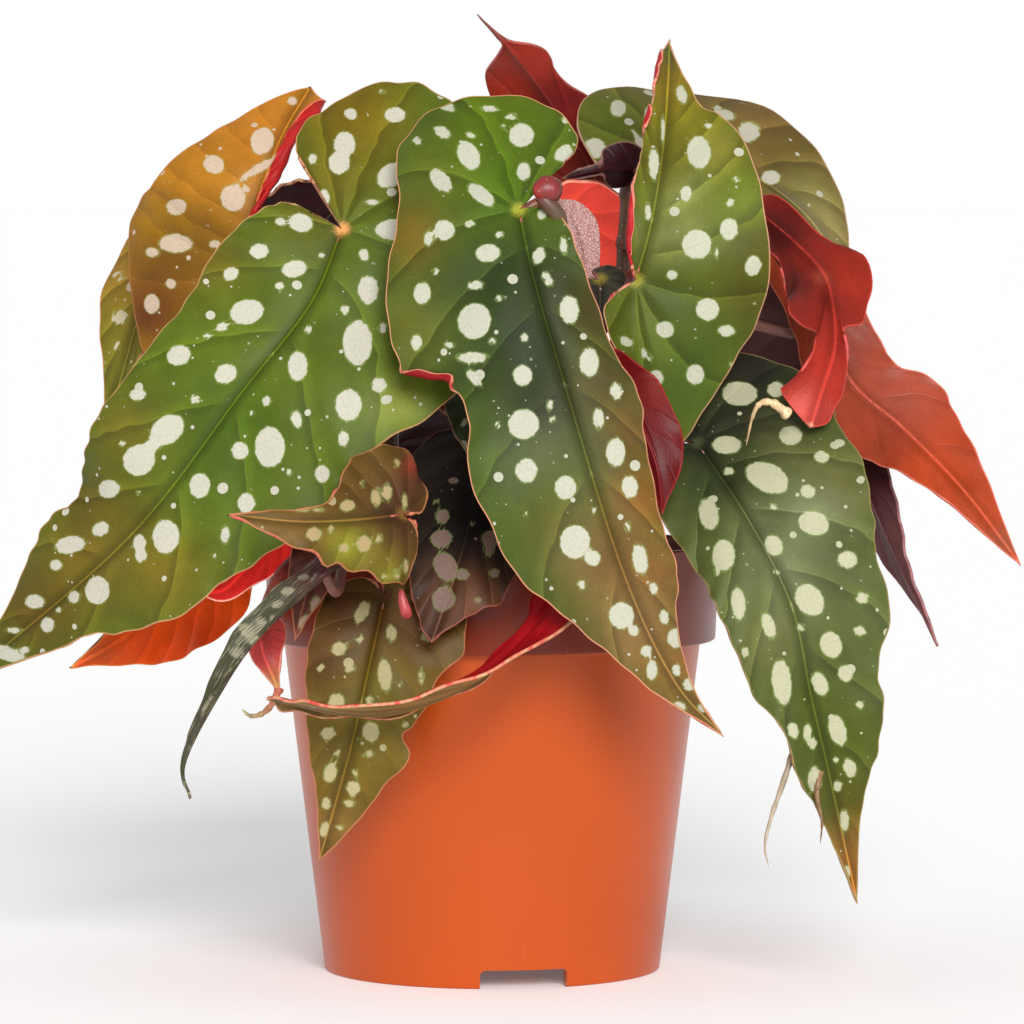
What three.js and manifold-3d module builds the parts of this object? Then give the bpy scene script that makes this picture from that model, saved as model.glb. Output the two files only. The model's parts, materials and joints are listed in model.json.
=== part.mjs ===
// A polka dot begonia in a plastic nursery pot: pot, soil, canes and one solid per leaf.
// Millimetres, +Z up, the front towards -Y, the origin on the table under the pot's axis.
import * as THREE from "three";
import { mergeVertices } from "three/addons/utils/BufferGeometryUtils.js";
import Module from "manifold-3d";

const wasm = await Module();
wasm.setup();

// pot
const potHeight = 113.5;
const potRimRadius = 60.5;
const potRimBottom = 88;
const potBodyTopRadius = 55.4;
const potFootRadius = 44.6;
const potWall = 1.4;
const potFootWidth = 3.4;
const potBaseUnderside = 5.6;
const potBaseThickness = 1.6;
const potSegments = 44;
const notchWidth = 23;
const notchHeight = 5;
const notchAngles = [-79, 41, 161];
const drainRadius = 4.5;
const drainCircle = 26;

// soil
const soilTop = 97;
const soilMound = 3.5;
const soilClearance = 0.4;
const holeDepth = 34;
const seatGap = 0.3;

// leaves
const bladeThickness = 0.8;
const largeRows = { blade: 13, fanTurn: 21 };
const smallRows = { blade: 9, fanTurn: 30 };
const crossSteps = 2;
const veinSweep = 1.35;
const lobeDroop = 1.4;
const petioleSides = 6;
const petioleInset = 2.4;

// half outlines of a leaf: along the midrib and out from it, in midrib lengths, from the notch to the tip
const wideOutline = [
  [0, 0], [-0.05, -0.03], [-0.1, -0.08], [-0.19, -0.1], [-0.27, -0.03], [-0.3, 0.08], [-0.26, 0.2], [-0.17, 0.28],
  [-0.03, 0.33], [0.14, 0.33], [0.32, 0.29], [0.48, 0.23], [0.64, 0.155], [0.78, 0.09], [0.9, 0.035], [1, 0],
];
const narrowOutline = [
  [0, 0], [-0.005, 0.045], [-0.015, 0.1], [0.03, 0.155], [0.13, 0.19], [0.28, 0.19], [0.44, 0.17],
  [0.6, 0.13], [0.76, 0.075], [0.9, 0.03], [1, 0],
];

// canes: foot and top of the axis, radius at the foot, heights of the nodes along the axis
const canes = {
  cane_left: { foot: [-18, -2, 0], top: [-31, -6, 198], radius: 3, nodes: [112, 128, 144, 160, 174, 187] },
  cane_low: { foot: [-20, -24, 0], top: [-31, -37, 152], radius: 2.7, nodes: [104, 111, 118, 126, 134, 143] },
  cane_middle: { foot: [7, -16, 0], top: [20, -24, 194], radius: 2.9, nodes: [106, 120, 134, 148, 160, 172, 184] },
  cane_right: { foot: [24, 6, 0], top: [37, -3, 216], radius: 3, nodes: [110, 124, 138, 152, 166, 180, 193, 206] },
  cane_back: { foot: [-4, 22, 0], top: [-8, 32, 200], radius: 3, nodes: [110, 128, 146, 164, 178, 190] },
};

const leafGreen = "#4f7a2b";
const leafDark = "#2f4a30";
const leafBronze = "#8a6a2c";
const leafOrange = "#c07a2c";
const leafRed = "#c22f2b";
const leafMaroon = "#6d2430";
const leafDry = "#9a9278";

// leaves: midrib from the petiole to the tip, direction the upper face looks at the base and at the tip,
// hand of the wide half, scales of the two halves and of the lobes behind the petiole, own outlines if any,
// fold of both halves and curl of each in degrees, ripple height, waves and phase, cane and node it grows from
const leaves = {
  leaf_front_left: {
    midrib: [[-38, -58, 197], [-46, -66, 178], [-63, -72, 156], [-92, -66, 119], [-138, -32, 79]],
    face: [[0, -1, 0.35], [-0.4, -1, 0.3]], hand: -1, wide: 1.06, narrow: 1.05, lobe: 1.15,
    wideHalf: [
      [0, 0], [-0.04, -0.04], [-0.07, -0.09], [-0.12, -0.12], [-0.18, -0.1], [-0.23, -0.05], [-0.25, 0.02],
      [-0.22, 0.11], [-0.14, 0.19], [-0.02, 0.24], [0.1, 0.25], [0.2, 0.225], [0.29, 0.19], [0.36, 0.21],
      [0.45, 0.18], [0.51, 0.155], [0.57, 0.15], [0.65, 0.115], [0.72, 0.08], [0.79, 0.06], [0.88, 0.035], [1, 0],
    ],
    narrowHalf: [
      [0, 0], [-0.005, 0.045], [-0.01, 0.09], [0.02, 0.13], [0.1, 0.16], [0.23, 0.16], [0.35, 0.155], [0.46, 0.16],
      [0.56, 0.145], [0.63, 0.11], [0.7, 0.11], [0.78, 0.08], [0.88, 0.04], [1, 0],
    ],
    fold: 5, curl: [-25, -20], ripple: [1.2, 4, 0.1], cane: "cane_left", node: 5, color: leafGreen,
  },
  leaf_front_center: {
    midrib: [[7, -78, 202], [11, -88, 184], [18, -94, 160], [33, -95, 112], [46, -88, 84], [59, -78, 69]],
    face: [[0, -1, 0.3], [0.2, -1, 0.1]], hand: 1, wide: 1.08, narrow: 1.15, lobe: 1.2,
    wideHalf: [
      [0, 0], [-0.04, -0.04], [-0.08, -0.09], [-0.12, -0.115], [-0.18, -0.08], [-0.2, 0.0], [-0.21, 0.09],
      [-0.16, 0.165], [-0.06, 0.175], [0.04, 0.215], [0.15, 0.24], [0.22, 0.22], [0.26, 0.165], [0.33, 0.155],
      [0.43, 0.18], [0.56, 0.165], [0.65, 0.12], [0.73, 0.08], [0.82, 0.045], [0.9, 0.018], [1, 0],
    ],
    narrowHalf: [
      [0, 0], [0, 0.045], [0.02, 0.08], [0.12, 0.1], [0.26, 0.11], [0.36, 0.12], [0.46, 0.09], [0.58, 0.08],
      [0.69, 0.07], [0.79, 0.04], [0.9, 0.015], [1, 0],
    ],
    fold: 4, curl: [-40, -45], ripple: [1.2, 4, 0.4], cane: "cane_middle", node: 6, color: leafGreen,
  },
  leaf_right_upright: {
    midrib: [[37, -56, 184], [41, -55, 199], [44, -44, 216], [46, -24, 235], [47, 0, 247]],
    face: [[0.1, -1, 0.1], [0, -0.6, 1]], hand: 1, wide: 1.05, narrow: 1, lobe: 1,
    wideHalf: [
      [0, 0], [-0.03, -0.03], [-0.07, -0.055], [-0.12, -0.06], [-0.18, -0.02], [-0.26, 0.05], [-0.35, 0.1],
      [-0.41, 0.14], [-0.36, 0.2], [-0.27, 0.23], [-0.18, 0.28], [-0.07, 0.33], [0.05, 0.345], [0.2, 0.32],
      [0.35, 0.28], [0.5, 0.23], [0.62, 0.18], [0.72, 0.12], [0.8, 0.07], [0.9, 0.03], [1, 0],
    ],
    narrowHalf: [
      [0, 0], [0.04, 0.02], [0.15, 0.05], [0.28, 0.07], [0.37, 0.1], [0.46, 0.1], [0.56, 0.07], [0.67, 0.065],
      [0.78, 0.05], [0.88, 0.03], [1, 0],
    ],
    fold: 6, curl: [-20, -30], droop: 0.5, ripple: [1, 3, 0.3], cane: "cane_right", node: 4, color: leafGreen,
  },
  leaf_upper_left: {
    midrib: [[-66, -24, 188], [-62, -26, 202], [-55, -18, 219], [-47, -2, 232]],
    face: [[-0.2, -1, 0.2], [0, -0.8, 0.9]], hand: -1, wide: 1.12, narrow: 1, lobe: 1,
    wideHalf: [
      [0, 0], [-0.1, -0.02], [-0.3, 0.06], [-0.5, 0.18], [-0.54, 0.3], [-0.38, 0.38], [-0.2, 0.46], [-0.04, 0.54],
      [0.08, 0.52], [0.25, 0.46], [0.42, 0.39], [0.56, 0.3], [0.7, 0.2], [0.85, 0.1], [1, 0],
    ],
    narrowHalf: [
      [0, 0], [-0.04, 0.1], [0.05, 0.17], [0.2, 0.17], [0.4, 0.15], [0.6, 0.13], [0.8, 0.09], [0.92, 0.05], [1, 0],
    ],
    fold: 8, curl: [-25, 60], droop: 0.4, ripple: [1.2, 3, 0.2], cane: "cane_left", node: 4, color: leafOrange,
  },
  leaf_far_left: {
    midrib: [[-82, 10, 196], [-92, 8, 180], [-98, 6, 160], [-104, 4, 140]],
    face: [[-0.5, -1, 0.4], [-0.8, -1, 0.2]], hand: 1, wide: 0.8, narrow: 0.7, lobe: 0.8,
    fold: 6, curl: [-30, -20], ripple: [1, 3, 0.1], cane: "cane_left", node: 3, color: leafBronze,
  },
  leaf_top_red: {
    midrib: [[30, 44, 208], [20, 38, 225], [11, 28, 238], [3, 14, 247], [-4, 4, 254]],
    face: [[0, 0.8, 1], [0, 1, 0.7]], hand: 1, wide: 1, narrow: 1, lobe: 0.8,
    wideHalf: [
      [0, 0], [-0.05, -0.03], [-0.13, -0.02], [-0.19, 0.08], [-0.15, 0.18], [-0.02, 0.25], [0.2, 0.29], [0.4, 0.27],
      [0.55, 0.24], [0.67, 0.17], [0.76, 0.07], [0.82, 0.025], [0.9, 0.015], [1, 0],
    ],
    narrowHalf: [
      [0, 0], [0, 0.06], [0.08, 0.12], [0.3, 0.13], [0.5, 0.1], [0.66, 0.06], [0.76, 0.03], [0.86, 0.015], [1, 0],
    ],
    fold: 24, curl: [30, 20], ripple: [0.6, 2, 0.1], cane: "cane_back", node: 5, color: leafRed,
  },
  leaf_top_back: {
    midrib: [[50, 22, 216], [68, 27, 212], [85, 27, 200], [97, 22, 181]],
    face: [[0, -1, 0.75], [0.4, -1, 0.5]], hand: -1, wide: 1.38, narrow: 0.9, lobe: 1.5,
    fold: 4, curl: [-25, -20], droop: 0.5, ripple: [1.2, 3, 0.2], cane: "cane_right", node: 5, color: leafBronze,
  },
  leaf_right_curl: {
    midrib: [[68, -16, 201], [84, -30, 190], [93, -43, 178], [91, -53, 164], [85, -61, 152], [74, -67, 145]],
    face: [[-0.4, 1, -0.3], [-0.6, 0.8, 0.4]], hand: 1, wide: 0.35, narrow: 0.8, lobe: 0.5,
    fold: 10, curl: [40, 40], ripple: [0.8, 3, 0.1], cane: "cane_right", node: 7, color: leafRed,
  },
  leaf_right_long: {
    midrib: [[74, 12, 198], [87, 6, 177], [95, 0, 157], [109, -8, 144], [124, -18, 128], [138, -30, 109]],
    face: [[0, 1, 0.2], [-0.2, 1, -0.2]], hand: 1, wide: 1.05, narrow: 1.05, lobe: 0.8,
    wideHalf: [
      [0, 0], [-0.02, 0.01], [-0.02, 0.025], [0.01, 0.035], [0.07, 0.04], [0.16, 0.055], [0.26, 0.085], [0.36, 0.1],
      [0.46, 0.1], [0.53, 0.12], [0.6, 0.115], [0.68, 0.09], [0.78, 0.06], [0.9, 0.025], [1, 0],
    ],
    narrowHalf: [
      [0, 0], [-0.02, 0.03], [-0.02, 0.055], [0.05, 0.07], [0.2, 0.07], [0.32, 0.08], [0.42, 0.1], [0.52, 0.1],
      [0.62, 0.08], [0.74, 0.05], [0.85, 0.03], [1, 0],
    ],
    fold: 6, curl: [20, 20], ripple: [1, 3, 0.2], cane: "cane_right", node: 6, color: leafRed,
  },
  leaf_right_hanging: {
    midrib: [[53, -52, 142], [65, -70, 124], [76, -78, 102], [81, -78, 79], [86, -74, 58], [94, -60, 24]],
    face: [[0.1, -1, 0.3], [0.2, -1, 0.1]], hand: -1, wide: 1.05, narrow: 1.05, lobe: 1.1,
    wideHalf: [
      [0, 0], [-0.05, -0.04], [-0.12, -0.04], [-0.18, 0.02], [-0.19, 0.1], [-0.15, 0.18], [-0.07, 0.235],
      [0.02, 0.25], [0.1, 0.24], [0.2, 0.23], [0.3, 0.205], [0.36, 0.18], [0.44, 0.165], [0.54, 0.13], [0.62, 0.12],
      [0.7, 0.09], [0.77, 0.06], [0.85, 0.03], [1, 0],
    ],
    narrowHalf: [
      [0, 0], [-0.02, 0.05], [-0.03, 0.09], [0.03, 0.125], [0.17, 0.135], [0.28, 0.12], [0.36, 0.128], [0.46, 0.12],
      [0.53, 0.1], [0.6, 0.07], [0.7, 0.06], [0.78, 0.035], [0.88, 0.018], [1, 0],
    ],
    fold: 5, curl: [-20, -20], ripple: [1.2, 4, 0.3], cane: "cane_right", node: 2, color: leafDark,
  },
  leaf_right_edge: {
    midrib: [[82, 16, 171], [92, 12, 148], [104, 6, 119], [119, 0, 86]],
    face: [[0.3, 1, 0.3], [1, 0.4, 0.4]], hand: -1, wide: 0.8, narrow: 0.5, lobe: 0.6,
    fold: 10, curl: [10, 10], ripple: [1, 3, 0.2], cane: "cane_right", node: 4, color: leafMaroon,
  },
  leaf_center_red: {
    midrib: [[28, -64, 165], [36, -71, 152], [42, -76, 138], [45, -77, 123]],
    face: [[0.3, 1, 0], [0.2, 1, 0]], hand: 1, wide: 1.05, narrow: 1, lobe: 0.5,
    fold: 8, curl: [20, 20], ripple: [0.8, 2, 0.1], cane: "cane_middle", node: 3, color: leafRed,
    via: [[18, -46, 154], [23, -58, 169]],
  },
  leaf_center_green: {
    midrib: [[-6, -46, 156], [-3, -58, 146], [0, -64, 136], [2, -66, 124]],
    face: [[0, -1, 0.3], [0, -1, 0]], hand: -1, wide: 0.7, narrow: 0.9, lobe: 0.5,
    fold: 6, curl: [-20, -20], ripple: [0.8, 3, 0.1], cane: "cane_middle", node: 4, color: leafDark,
  },
  leaf_low_olive: {
    midrib: [[-22, -91, 126], [-34, -98, 125], [-48, -105, 125], [-65, -108, 127]],
    face: [[0, -1, 0.4], [0, -1, 0.5]], hand: 1, wide: 1.05, narrow: 1.05, lobe: 1,
    wideHalf: [
      [0, 0], [-0.1, 0], [-0.18, 0.1], [-0.2, 0.25], [-0.15, 0.38], [-0.03, 0.4], [0.1, 0.38], [0.2, 0.32],
      [0.28, 0.24], [0.37, 0.18], [0.45, 0.1], [0.6, 0.065], [0.75, 0.05], [0.88, 0.025], [1, 0],
    ],
    narrowHalf: [
      [0, 0], [-0.06, 0.1], [-0.03, 0.25], [0.05, 0.36], [0.17, 0.36], [0.28, 0.28], [0.4, 0.21], [0.5, 0.22],
      [0.6, 0.17], [0.74, 0.1], [0.88, 0.04], [1, 0],
    ],
    fold: 6, curl: [-20, -30], ripple: [1, 3, 0.2], cane: "cane_low", node: 5, color: leafBronze,
    via: [[-31, -64, 138]],
  },
  leaf_low_dark: {
    midrib: [[-4, -38, 144], [-5, -59, 126], [-9, -73, 110], [-15, -80, 93]],
    face: [[0, -1, 0.6], [0, -1, 0.2]], hand: -1, wide: 0.9, narrow: 0.95, lobe: 0.8,
    fold: 6, curl: [-25, -20], ripple: [1, 2, 0.2], cane: "cane_middle", node: 2, color: leafDark,
  },
  leaf_over_rim: {
    midrib: [[-27, -66, 104], [-31, -71, 86], [-36, -72, 64], [-44, -68, 36]],
    face: [[0, -1, 0.4], [0, -1, 0]], hand: -1, wide: 1, narrow: 1, lobe: 1,
    wideHalf: [
      [0, 0], [-0.06, -0.02], [-0.12, 0.06], [-0.12, 0.2], [-0.03, 0.29], [0.1, 0.32], [0.18, 0.31], [0.25, 0.25],
      [0.35, 0.225], [0.44, 0.2], [0.49, 0.18], [0.55, 0.21], [0.63, 0.165], [0.72, 0.13], [0.8, 0.1], [0.9, 0.055],
      [1, 0],
    ],
    narrowHalf: [
      [0, 0], [-0.05, 0.08], [0, 0.18], [0.1, 0.22], [0.2, 0.235], [0.3, 0.225], [0.42, 0.2], [0.56, 0.155],
      [0.7, 0.11], [0.8, 0.065], [0.9, 0.03], [1, 0],
    ],
    fold: 5, curl: [-15, -15], ripple: [0.8, 3, 0.2], cane: "cane_low", node: 1, color: leafDark,
    via: [[-29, -58, 123]],
  },
  leaf_strap: {
    midrib: [[22, -72, 112], [8, -83, 94], [-8, -90, 82], [-30, -94, 76], [-56, -90, 80]],
    face: [[0.5, 0.2, 1], [0, 0.1, 1]], hand: 1, wide: 0.5, narrow: 0.3, lobe: 0.5,
    fold: 8, curl: [10, 10], ripple: [0.8, 2, 0.1], cane: "cane_middle", node: 1, color: leafRed,
    via: [[18, -42, 124], [21, -62, 122]],
  },
  leaf_low_red: {
    midrib: [[-72, -20, 114], [-82, -32, 103], [-95, -42, 92], [-109, -48, 84]],
    face: [[0.1, 0.9, 0.5], [0, 1, 0.5]], hand: 1, wide: 0.8, narrow: 0.9, lobe: 0.5,
    fold: 8, curl: [15, 15], ripple: [0.8, 3, 0.2], cane: "cane_left", node: 1, color: leafRed,
    via: [[-50, -10, 126]],
  },
  leaf_rim_red: {
    midrib: [[-54, -42, 121], [-63, -50, 110], [-70, -54, 104], [-78, -56, 106]],
    face: [[0, 1, 0.2], [0, 1, -0.3]], hand: 1, wide: 0.7, narrow: 0.7, lobe: 0.6,
    fold: 15, curl: [40, 40], ripple: [0.6, 2, 0.2], cane: "cane_low", node: 3, color: leafRed,
    via: [[-39, -40, 135]],
  },
  leaf_dry: {
    midrib: [[-40, -86, 112], [-58, -93, 96], [-69, -92, 80], [-77, -88, 58]],
    face: [[-0.7, -0.6, 0.6], [-0.9, -0.4, 0]], hand: 1, wide: 0.3, narrow: 0.4, lobe: 0.5,
    fold: 35, curl: [60, 60], ripple: [0.6, 3, 0.1], cane: "cane_low", node: 2, color: leafDry,
    via: [[-36, -58, 124]],
  },
  leaf_small_red: {
    midrib: [[-60, -66, 94], [-60, -69, 84], [-61, -70, 76], [-66, -67, 70]],
    face: [[0, 1, 0], [0, 1, 0]], hand: 1, wide: 0.9, narrow: 0.9, lobe: 0.6,
    fold: 8, curl: [15, 15], ripple: [0.6, 2, 0.1], cane: "cane_left", node: 0, color: leafRed,
    via: [[-40, -38, 119], [-46, -50, 115.5], [-54, -61, 109]],
  },
  leaf_rim_brown: {
    midrib: [[-41, -60, 118], [-45, -66, 110], [-48, -68, 101], [-50, -68, 92]],
    face: [[0, -1, 0.4], [0, -1, 0.1]], hand: 1, wide: 0.8, narrow: 1, lobe: 0.6,
    fold: 6, curl: [-20, -20], ripple: [0.6, 2, 0.1], cane: "cane_low", node: 4, color: leafBronze,
  },
  leaf_young: {
    midrib: [[40, -12, 212], [32, -16, 213], [26, -18, 212], [18, -18, 210]],
    face: [[0, 1, 0.4], [0, 1, 0]], hand: 1, wide: 0.9, narrow: 0.8, lobe: 0.8,
    fold: 12, curl: [20, 20], ripple: [0.4, 2, 0.1], cane: "cane_right", node: 6, color: leafMaroon,
  },
  leaf_dark_middle: {
    midrib: [[28, -40, 184], [28, -45, 178], [27, -48, 171], [25, -50, 164]],
    face: [[0, -1, 0.5], [0, -1, 0.1]], hand: -1, wide: 0.9, narrow: 1.2, lobe: 0.8,
    fold: 5, curl: [-20, -20], ripple: [0.8, 2, 0.1], cane: "cane_middle", node: 5, color: leafDark,
  },
  stipule: {
    midrib: [[27, -29, 184], [27, -31, 192], [25, -31, 201], [20, -28, 209]],
    face: [[0.3, -1, 0], [0.2, -1, 0.3]], hand: 1, wide: 0.8, narrow: 1.2, lobe: 0.3,
    fold: 10, curl: [30, 30], stalk: 1, ripple: [0, 2, 0.1], cane: "cane_middle", node: 6, color: leafDry,
  },
  leaf_back_red: {
    midrib: [[22, 36, 196], [18, 44, 184], [12, 50, 164], [6, 52, 138]],
    face: [[0, 1, 0.5], [0, 1, 0.1]], hand: 1, wide: 0.8, narrow: 0.8, lobe: 0.8,
    fold: 6, curl: [-20, -20], ripple: [1, 3, 0.1], cane: "cane_back", node: 3, color: leafGreen,
  },
  leaf_back_left: {
    midrib: [[-40, 52, 206], [-54, 70, 190], [-72, 84, 156], [-90, 88, 112]],
    face: [[-0.3, 1, 0.5], [-0.4, 1, 0.2]], hand: 1, wide: 1, narrow: 1, lobe: 1,
    fold: 5, curl: [-30, -30], ripple: [1.2, 4, 0.1], cane: "cane_back", node: 4, color: leafGreen,
  },
  leaf_back_center: {
    midrib: [[-2, 66, 182], [2, 86, 168], [8, 100, 134], [10, 106, 90]],
    face: [[0, 1, 0.6], [0.1, 1, 0.1]], hand: -1, wide: 1, narrow: 1, lobe: 1,
    fold: 5, curl: [-30, -30], ripple: [1.2, 4, 0.3], cane: "cane_back", node: 2, color: leafDark,
  },
  leaf_back_right: {
    midrib: [[58, 50, 188], [72, 66, 174], [84, 80, 146], [92, 86, 106]],
    face: [[0.4, 1, 0.6], [0.4, 1, 0.2]], hand: -1, wide: 1, narrow: 1, lobe: 0.7,
    fold: 5, curl: [-30, -30], ripple: [1.2, 3, 0.2], cane: "cane_right", node: 2, color: leafGreen,
    via: [[50, 22, 166]],
  },
  leaf_side_left: {
    midrib: [[-66, 34, 176], [-82, 44, 162], [-96, 50, 136], [-104, 50, 104]],
    face: [[-1, 0.5, 0.6], [-1, 0.5, 0.2]], hand: 1, wide: 0.9, narrow: 1, lobe: 0.8,
    fold: 5, curl: [-25, -25], ripple: [1, 3, 0.4], cane: "cane_left", node: 2, color: leafGreen,
  },
  leaf_side_right: {
    midrib: [[66, 26, 150], [78, 36, 138], [87, 42, 116], [91, 42, 88]],
    face: [[1, 0.4, 0.6], [1, 0.6, 0.2]], hand: -1, wide: 0.9, narrow: 0.9, lobe: 0.7,
    fold: 5, curl: [-25, -25], ripple: [1, 3, 0.4], cane: "cane_right", node: 0, color: leafDark,
  },
  leaf_back_low: {
    midrib: [[-30, 66, 136], [-38, 80, 120], [-42, 90, 96], [-40, 90, 66]],
    face: [[-0.2, 1, 0.5], [-0.2, 1, 0.1]], hand: 1, wide: 1, narrow: 1, lobe: 0.9,
    fold: 5, curl: [-25, -25], ripple: [1, 3, 0.1], cane: "cane_back", node: 0, color: leafBronze,
  },
};

function curveThrough(points) {
  const controls = points.map(([x, y, z = 0]) => new THREE.Vector3(x, y, z));
  return new THREE.CatmullRomCurve3(controls, false, "catmullrom", 0.5);
}

function caneAxis(cane) {
  const foot = new THREE.Vector3(...cane.foot);
  const top = new THREE.Vector3(...cane.top);
  return { foot, top, along: top.clone().sub(foot).normalize() };
}

// the cane narrows upwards and swells at its nodes
function caneRadius(cane, height) {
  const { top } = caneAxis(cane);
  const taper = 1 - 0.25 * THREE.MathUtils.clamp(height / top.z, 0, 1);
  const swells = cane.nodes.map((node) => 0.5 * Math.exp(-(((height - node) / 1.8) ** 2)));
  return cane.radius * taper + swells.reduce((sum, swell) => sum + swell);
}

function pointOnAxis(cane, height) {
  const { foot, top } = caneAxis(cane);
  return foot.clone().lerp(top, (height - foot.z) / (top.z - foot.z));
}

// the midrib, its directions and the blade's upper normal at a share of the midrib
function midribFrame(leaf, share) {
  const point = leaf.curve.getPointAt(share);
  const ahead = leaf.curve.getPointAt(Math.min(share + 0.01, 1));
  const behind = leaf.curve.getPointAt(Math.max(share - 0.01, 0));
  const tangent = ahead.sub(behind).normalize();
  const face = new THREE.Vector3(...leaf.face[0]).lerp(new THREE.Vector3(...leaf.face[1]), share);
  const across = tangent.clone().cross(face).normalize();
  const normal = across.clone().cross(tangent).normalize();
  return { point, tangent, across, normal };
}

// behind the petiole the lobes bend down along an arc
function frameBehind(frame, distance, droop, length) {
  const angle = (droop * distance) / length;
  const radius = length / droop;
  const back = frame.tangent.clone().negate();
  const point = frame.point.clone()
    .addScaledVector(back, radius * Math.sin(angle))
    .addScaledVector(frame.normal, -radius * (1 - Math.cos(angle)));
  const normal = frame.normal.clone()
    .multiplyScalar(Math.cos(angle))
    .addScaledVector(back, Math.sin(angle));
  return { point, across: frame.across, normal };
}

// a point of one half: share along its outline, cross from the midrib (0) to the margin (1)
function bladePoint(leaf, half, spine, share, cross) {
  const margin = half.curve.getPoint(share);
  const along = margin.x < 0 ? margin.x * leaf.lobe : margin.x;
  const u = THREE.MathUtils.lerp(spine, along, cross);
  const v = margin.y * half.scale * cross * leaf.length;
  const station = THREE.MathUtils.clamp(u, 0, 1);
  let frame = midribFrame(leaf, station);
  if (u < 0) {
    frame = frameBehind(frame, -u * leaf.length, leaf.droop ?? lobeDroop, leaf.length);
  }
  const fold = THREE.MathUtils.degToRad(leaf.fold);
  const curl = THREE.MathUtils.degToRad(half.curl) || 1e-4;
  const bend = curl / (half.width * leaf.length);
  const out = (Math.sin(fold + bend * v) - Math.sin(fold)) / bend;
  const up = (Math.cos(fold) - Math.cos(fold + bend * v)) / bend;
  const [height, waves, phase] = leaf.ripple;
  const fade = cross * cross * Math.min(1, 4 * (1 - share));
  const wave = height * fade * Math.sin(2 * Math.PI * (waves * share + phase));
  return frame.point.clone()
    .addScaledVector(frame.across, half.hand * out)
    .addScaledVector(frame.normal, up + wave);
}

// how far the outline has turned round the petiole, in degrees past straight sideways
function turnBack(point) {
  return THREE.MathUtils.radToDeg(Math.atan2(-point.x, point.y));
}

// the shares of the outline where it lies furthest round the petiole, and where it passes beside it
function fanShares(curve) {
  let last = 1;
  while (last > 0.1 && curve.getPoint(last).x > 0) {
    last -= 0.01;
  }
  let first = last;
  for (let share = 0.04; share < last; share += 0.01) {
    if (turnBack(curve.getPoint(share)) > turnBack(curve.getPoint(first))) {
      first = share;
    }
  }
  return { first, last };
}

// the rows of a lobe spread from the petiole, each turned a step from the next, and those of the blade follow
function halfRows({ curve, fanTurn, bladeRows }) {
  const { first, last } = fanShares(curve);
  const fanRows = Math.round(turnBack(curve.getPoint(first)) / fanTurn);
  const rows = [];
  for (let i = 0; i < fanRows; i += 1) {
    rows.push({ spine: 0, share: THREE.MathUtils.lerp(first, last, i / fanRows) });
  }
  for (let i = 0; i <= bladeRows; i += 1) {
    const part = i / bladeRows;
    rows.push({ spine: part ** veinSweep, share: THREE.MathUtils.lerp(last, 1, part) });
  }
  return rows;
}

function halfSheet(leaf, half, steps) {
  const rows = halfRows(half);
  const positions = [];
  for (const { spine, share } of rows) {
    for (let j = 0; j <= steps; j += 1) {
      positions.push(...bladePoint(leaf, half, spine, share, j / steps).toArray());
    }
  }
  const triangles = [];
  for (let i = 0; i + 1 < rows.length; i += 1) {
    for (let j = 0; j < steps; j += 1) {
      const a = i * (steps + 1) + j;
      const b = a + steps + 1;
      const quad = [[a, a + 1, b + 1], [a, b + 1, b]];
      triangles.push(...(half.hand < 0 ? quad : quad.map(([p, q, r]) => [p, r, q])));
    }
  }
  return { positions, triangles };
}

function mergedSheet(sheets) {
  const positions = [];
  const index = [];
  for (const sheet of sheets) {
    const first = positions.length / 3;
    positions.push(...sheet.positions);
    index.push(...sheet.triangles.flat().map((i) => i + first));
  }
  const loose = new THREE.BufferGeometry();
  loose.setAttribute("position", new THREE.Float32BufferAttribute(positions, 3));
  loose.setIndex(index);
  const merged = mergeVertices(loose, 0.01);
  merged.setIndex(withoutSlivers(merged.index.array));
  merged.computeVertexNormals();
  return merged;
}

// the triangles that still have three corners
function withoutSlivers(index) {
  const kept = [];
  for (let i = 0; i < index.length; i += 3) {
    const [a, b, c] = index.slice(i, i + 3);
    if (a !== b && b !== c && c !== a) {
      kept.push(a, b, c);
    }
  }
  return kept;
}

// the sheet gets a thickness, with the same triangles on both faces and a rim between them
function thickened(sheet, thickness) {
  const point = sheet.getAttribute("position");
  const normal = sheet.getAttribute("normal");
  const index = [...sheet.index.array];
  const count = point.count;
  const positions = new Float32Array(count * 6);
  for (let i = 0; i < count; i += 1) {
    for (let k = 0; k < 3; k += 1) {
      const middle = point.array[3 * i + k];
      const offset = (normal.array[3 * i + k] * thickness) / 2;
      positions[3 * i + k] = middle + offset;
      positions[3 * (i + count) + k] = middle - offset;
    }
  }
  const edges = new Map();
  const triangles = [];
  for (let i = 0; i < index.length; i += 3) {
    const [a, b, c] = index.slice(i, i + 3);
    triangles.push(a, b, c, a + count, c + count, b + count);
    for (const [p, q] of [[a, b], [b, c], [c, a]]) {
      edges.set(`${p}_${q}`, [p, q]);
    }
  }
  for (const [p, q] of edges.values()) {
    if (!edges.has(`${q}_${p}`)) {
      triangles.push(p, p + count, q, q, p + count, q + count);
    }
  }
  return solidFrom(positions, triangles);
}

function solidFrom(positions, triangles) {
  const mesh = new wasm.Mesh({
    numProp: 3,
    vertProperties: new Float32Array(positions),
    triVerts: new Uint32Array(triangles),
  });
  return new wasm.Manifold(mesh);
}

function solidOf(geometry) {
  const bare = geometry.clone();
  bare.deleteAttribute("normal");
  bare.deleteAttribute("uv");
  const merged = mergeVertices(bare, 1e-4);
  return solidFrom(merged.getAttribute("position").array, withoutSlivers(merged.index.array));
}

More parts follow.
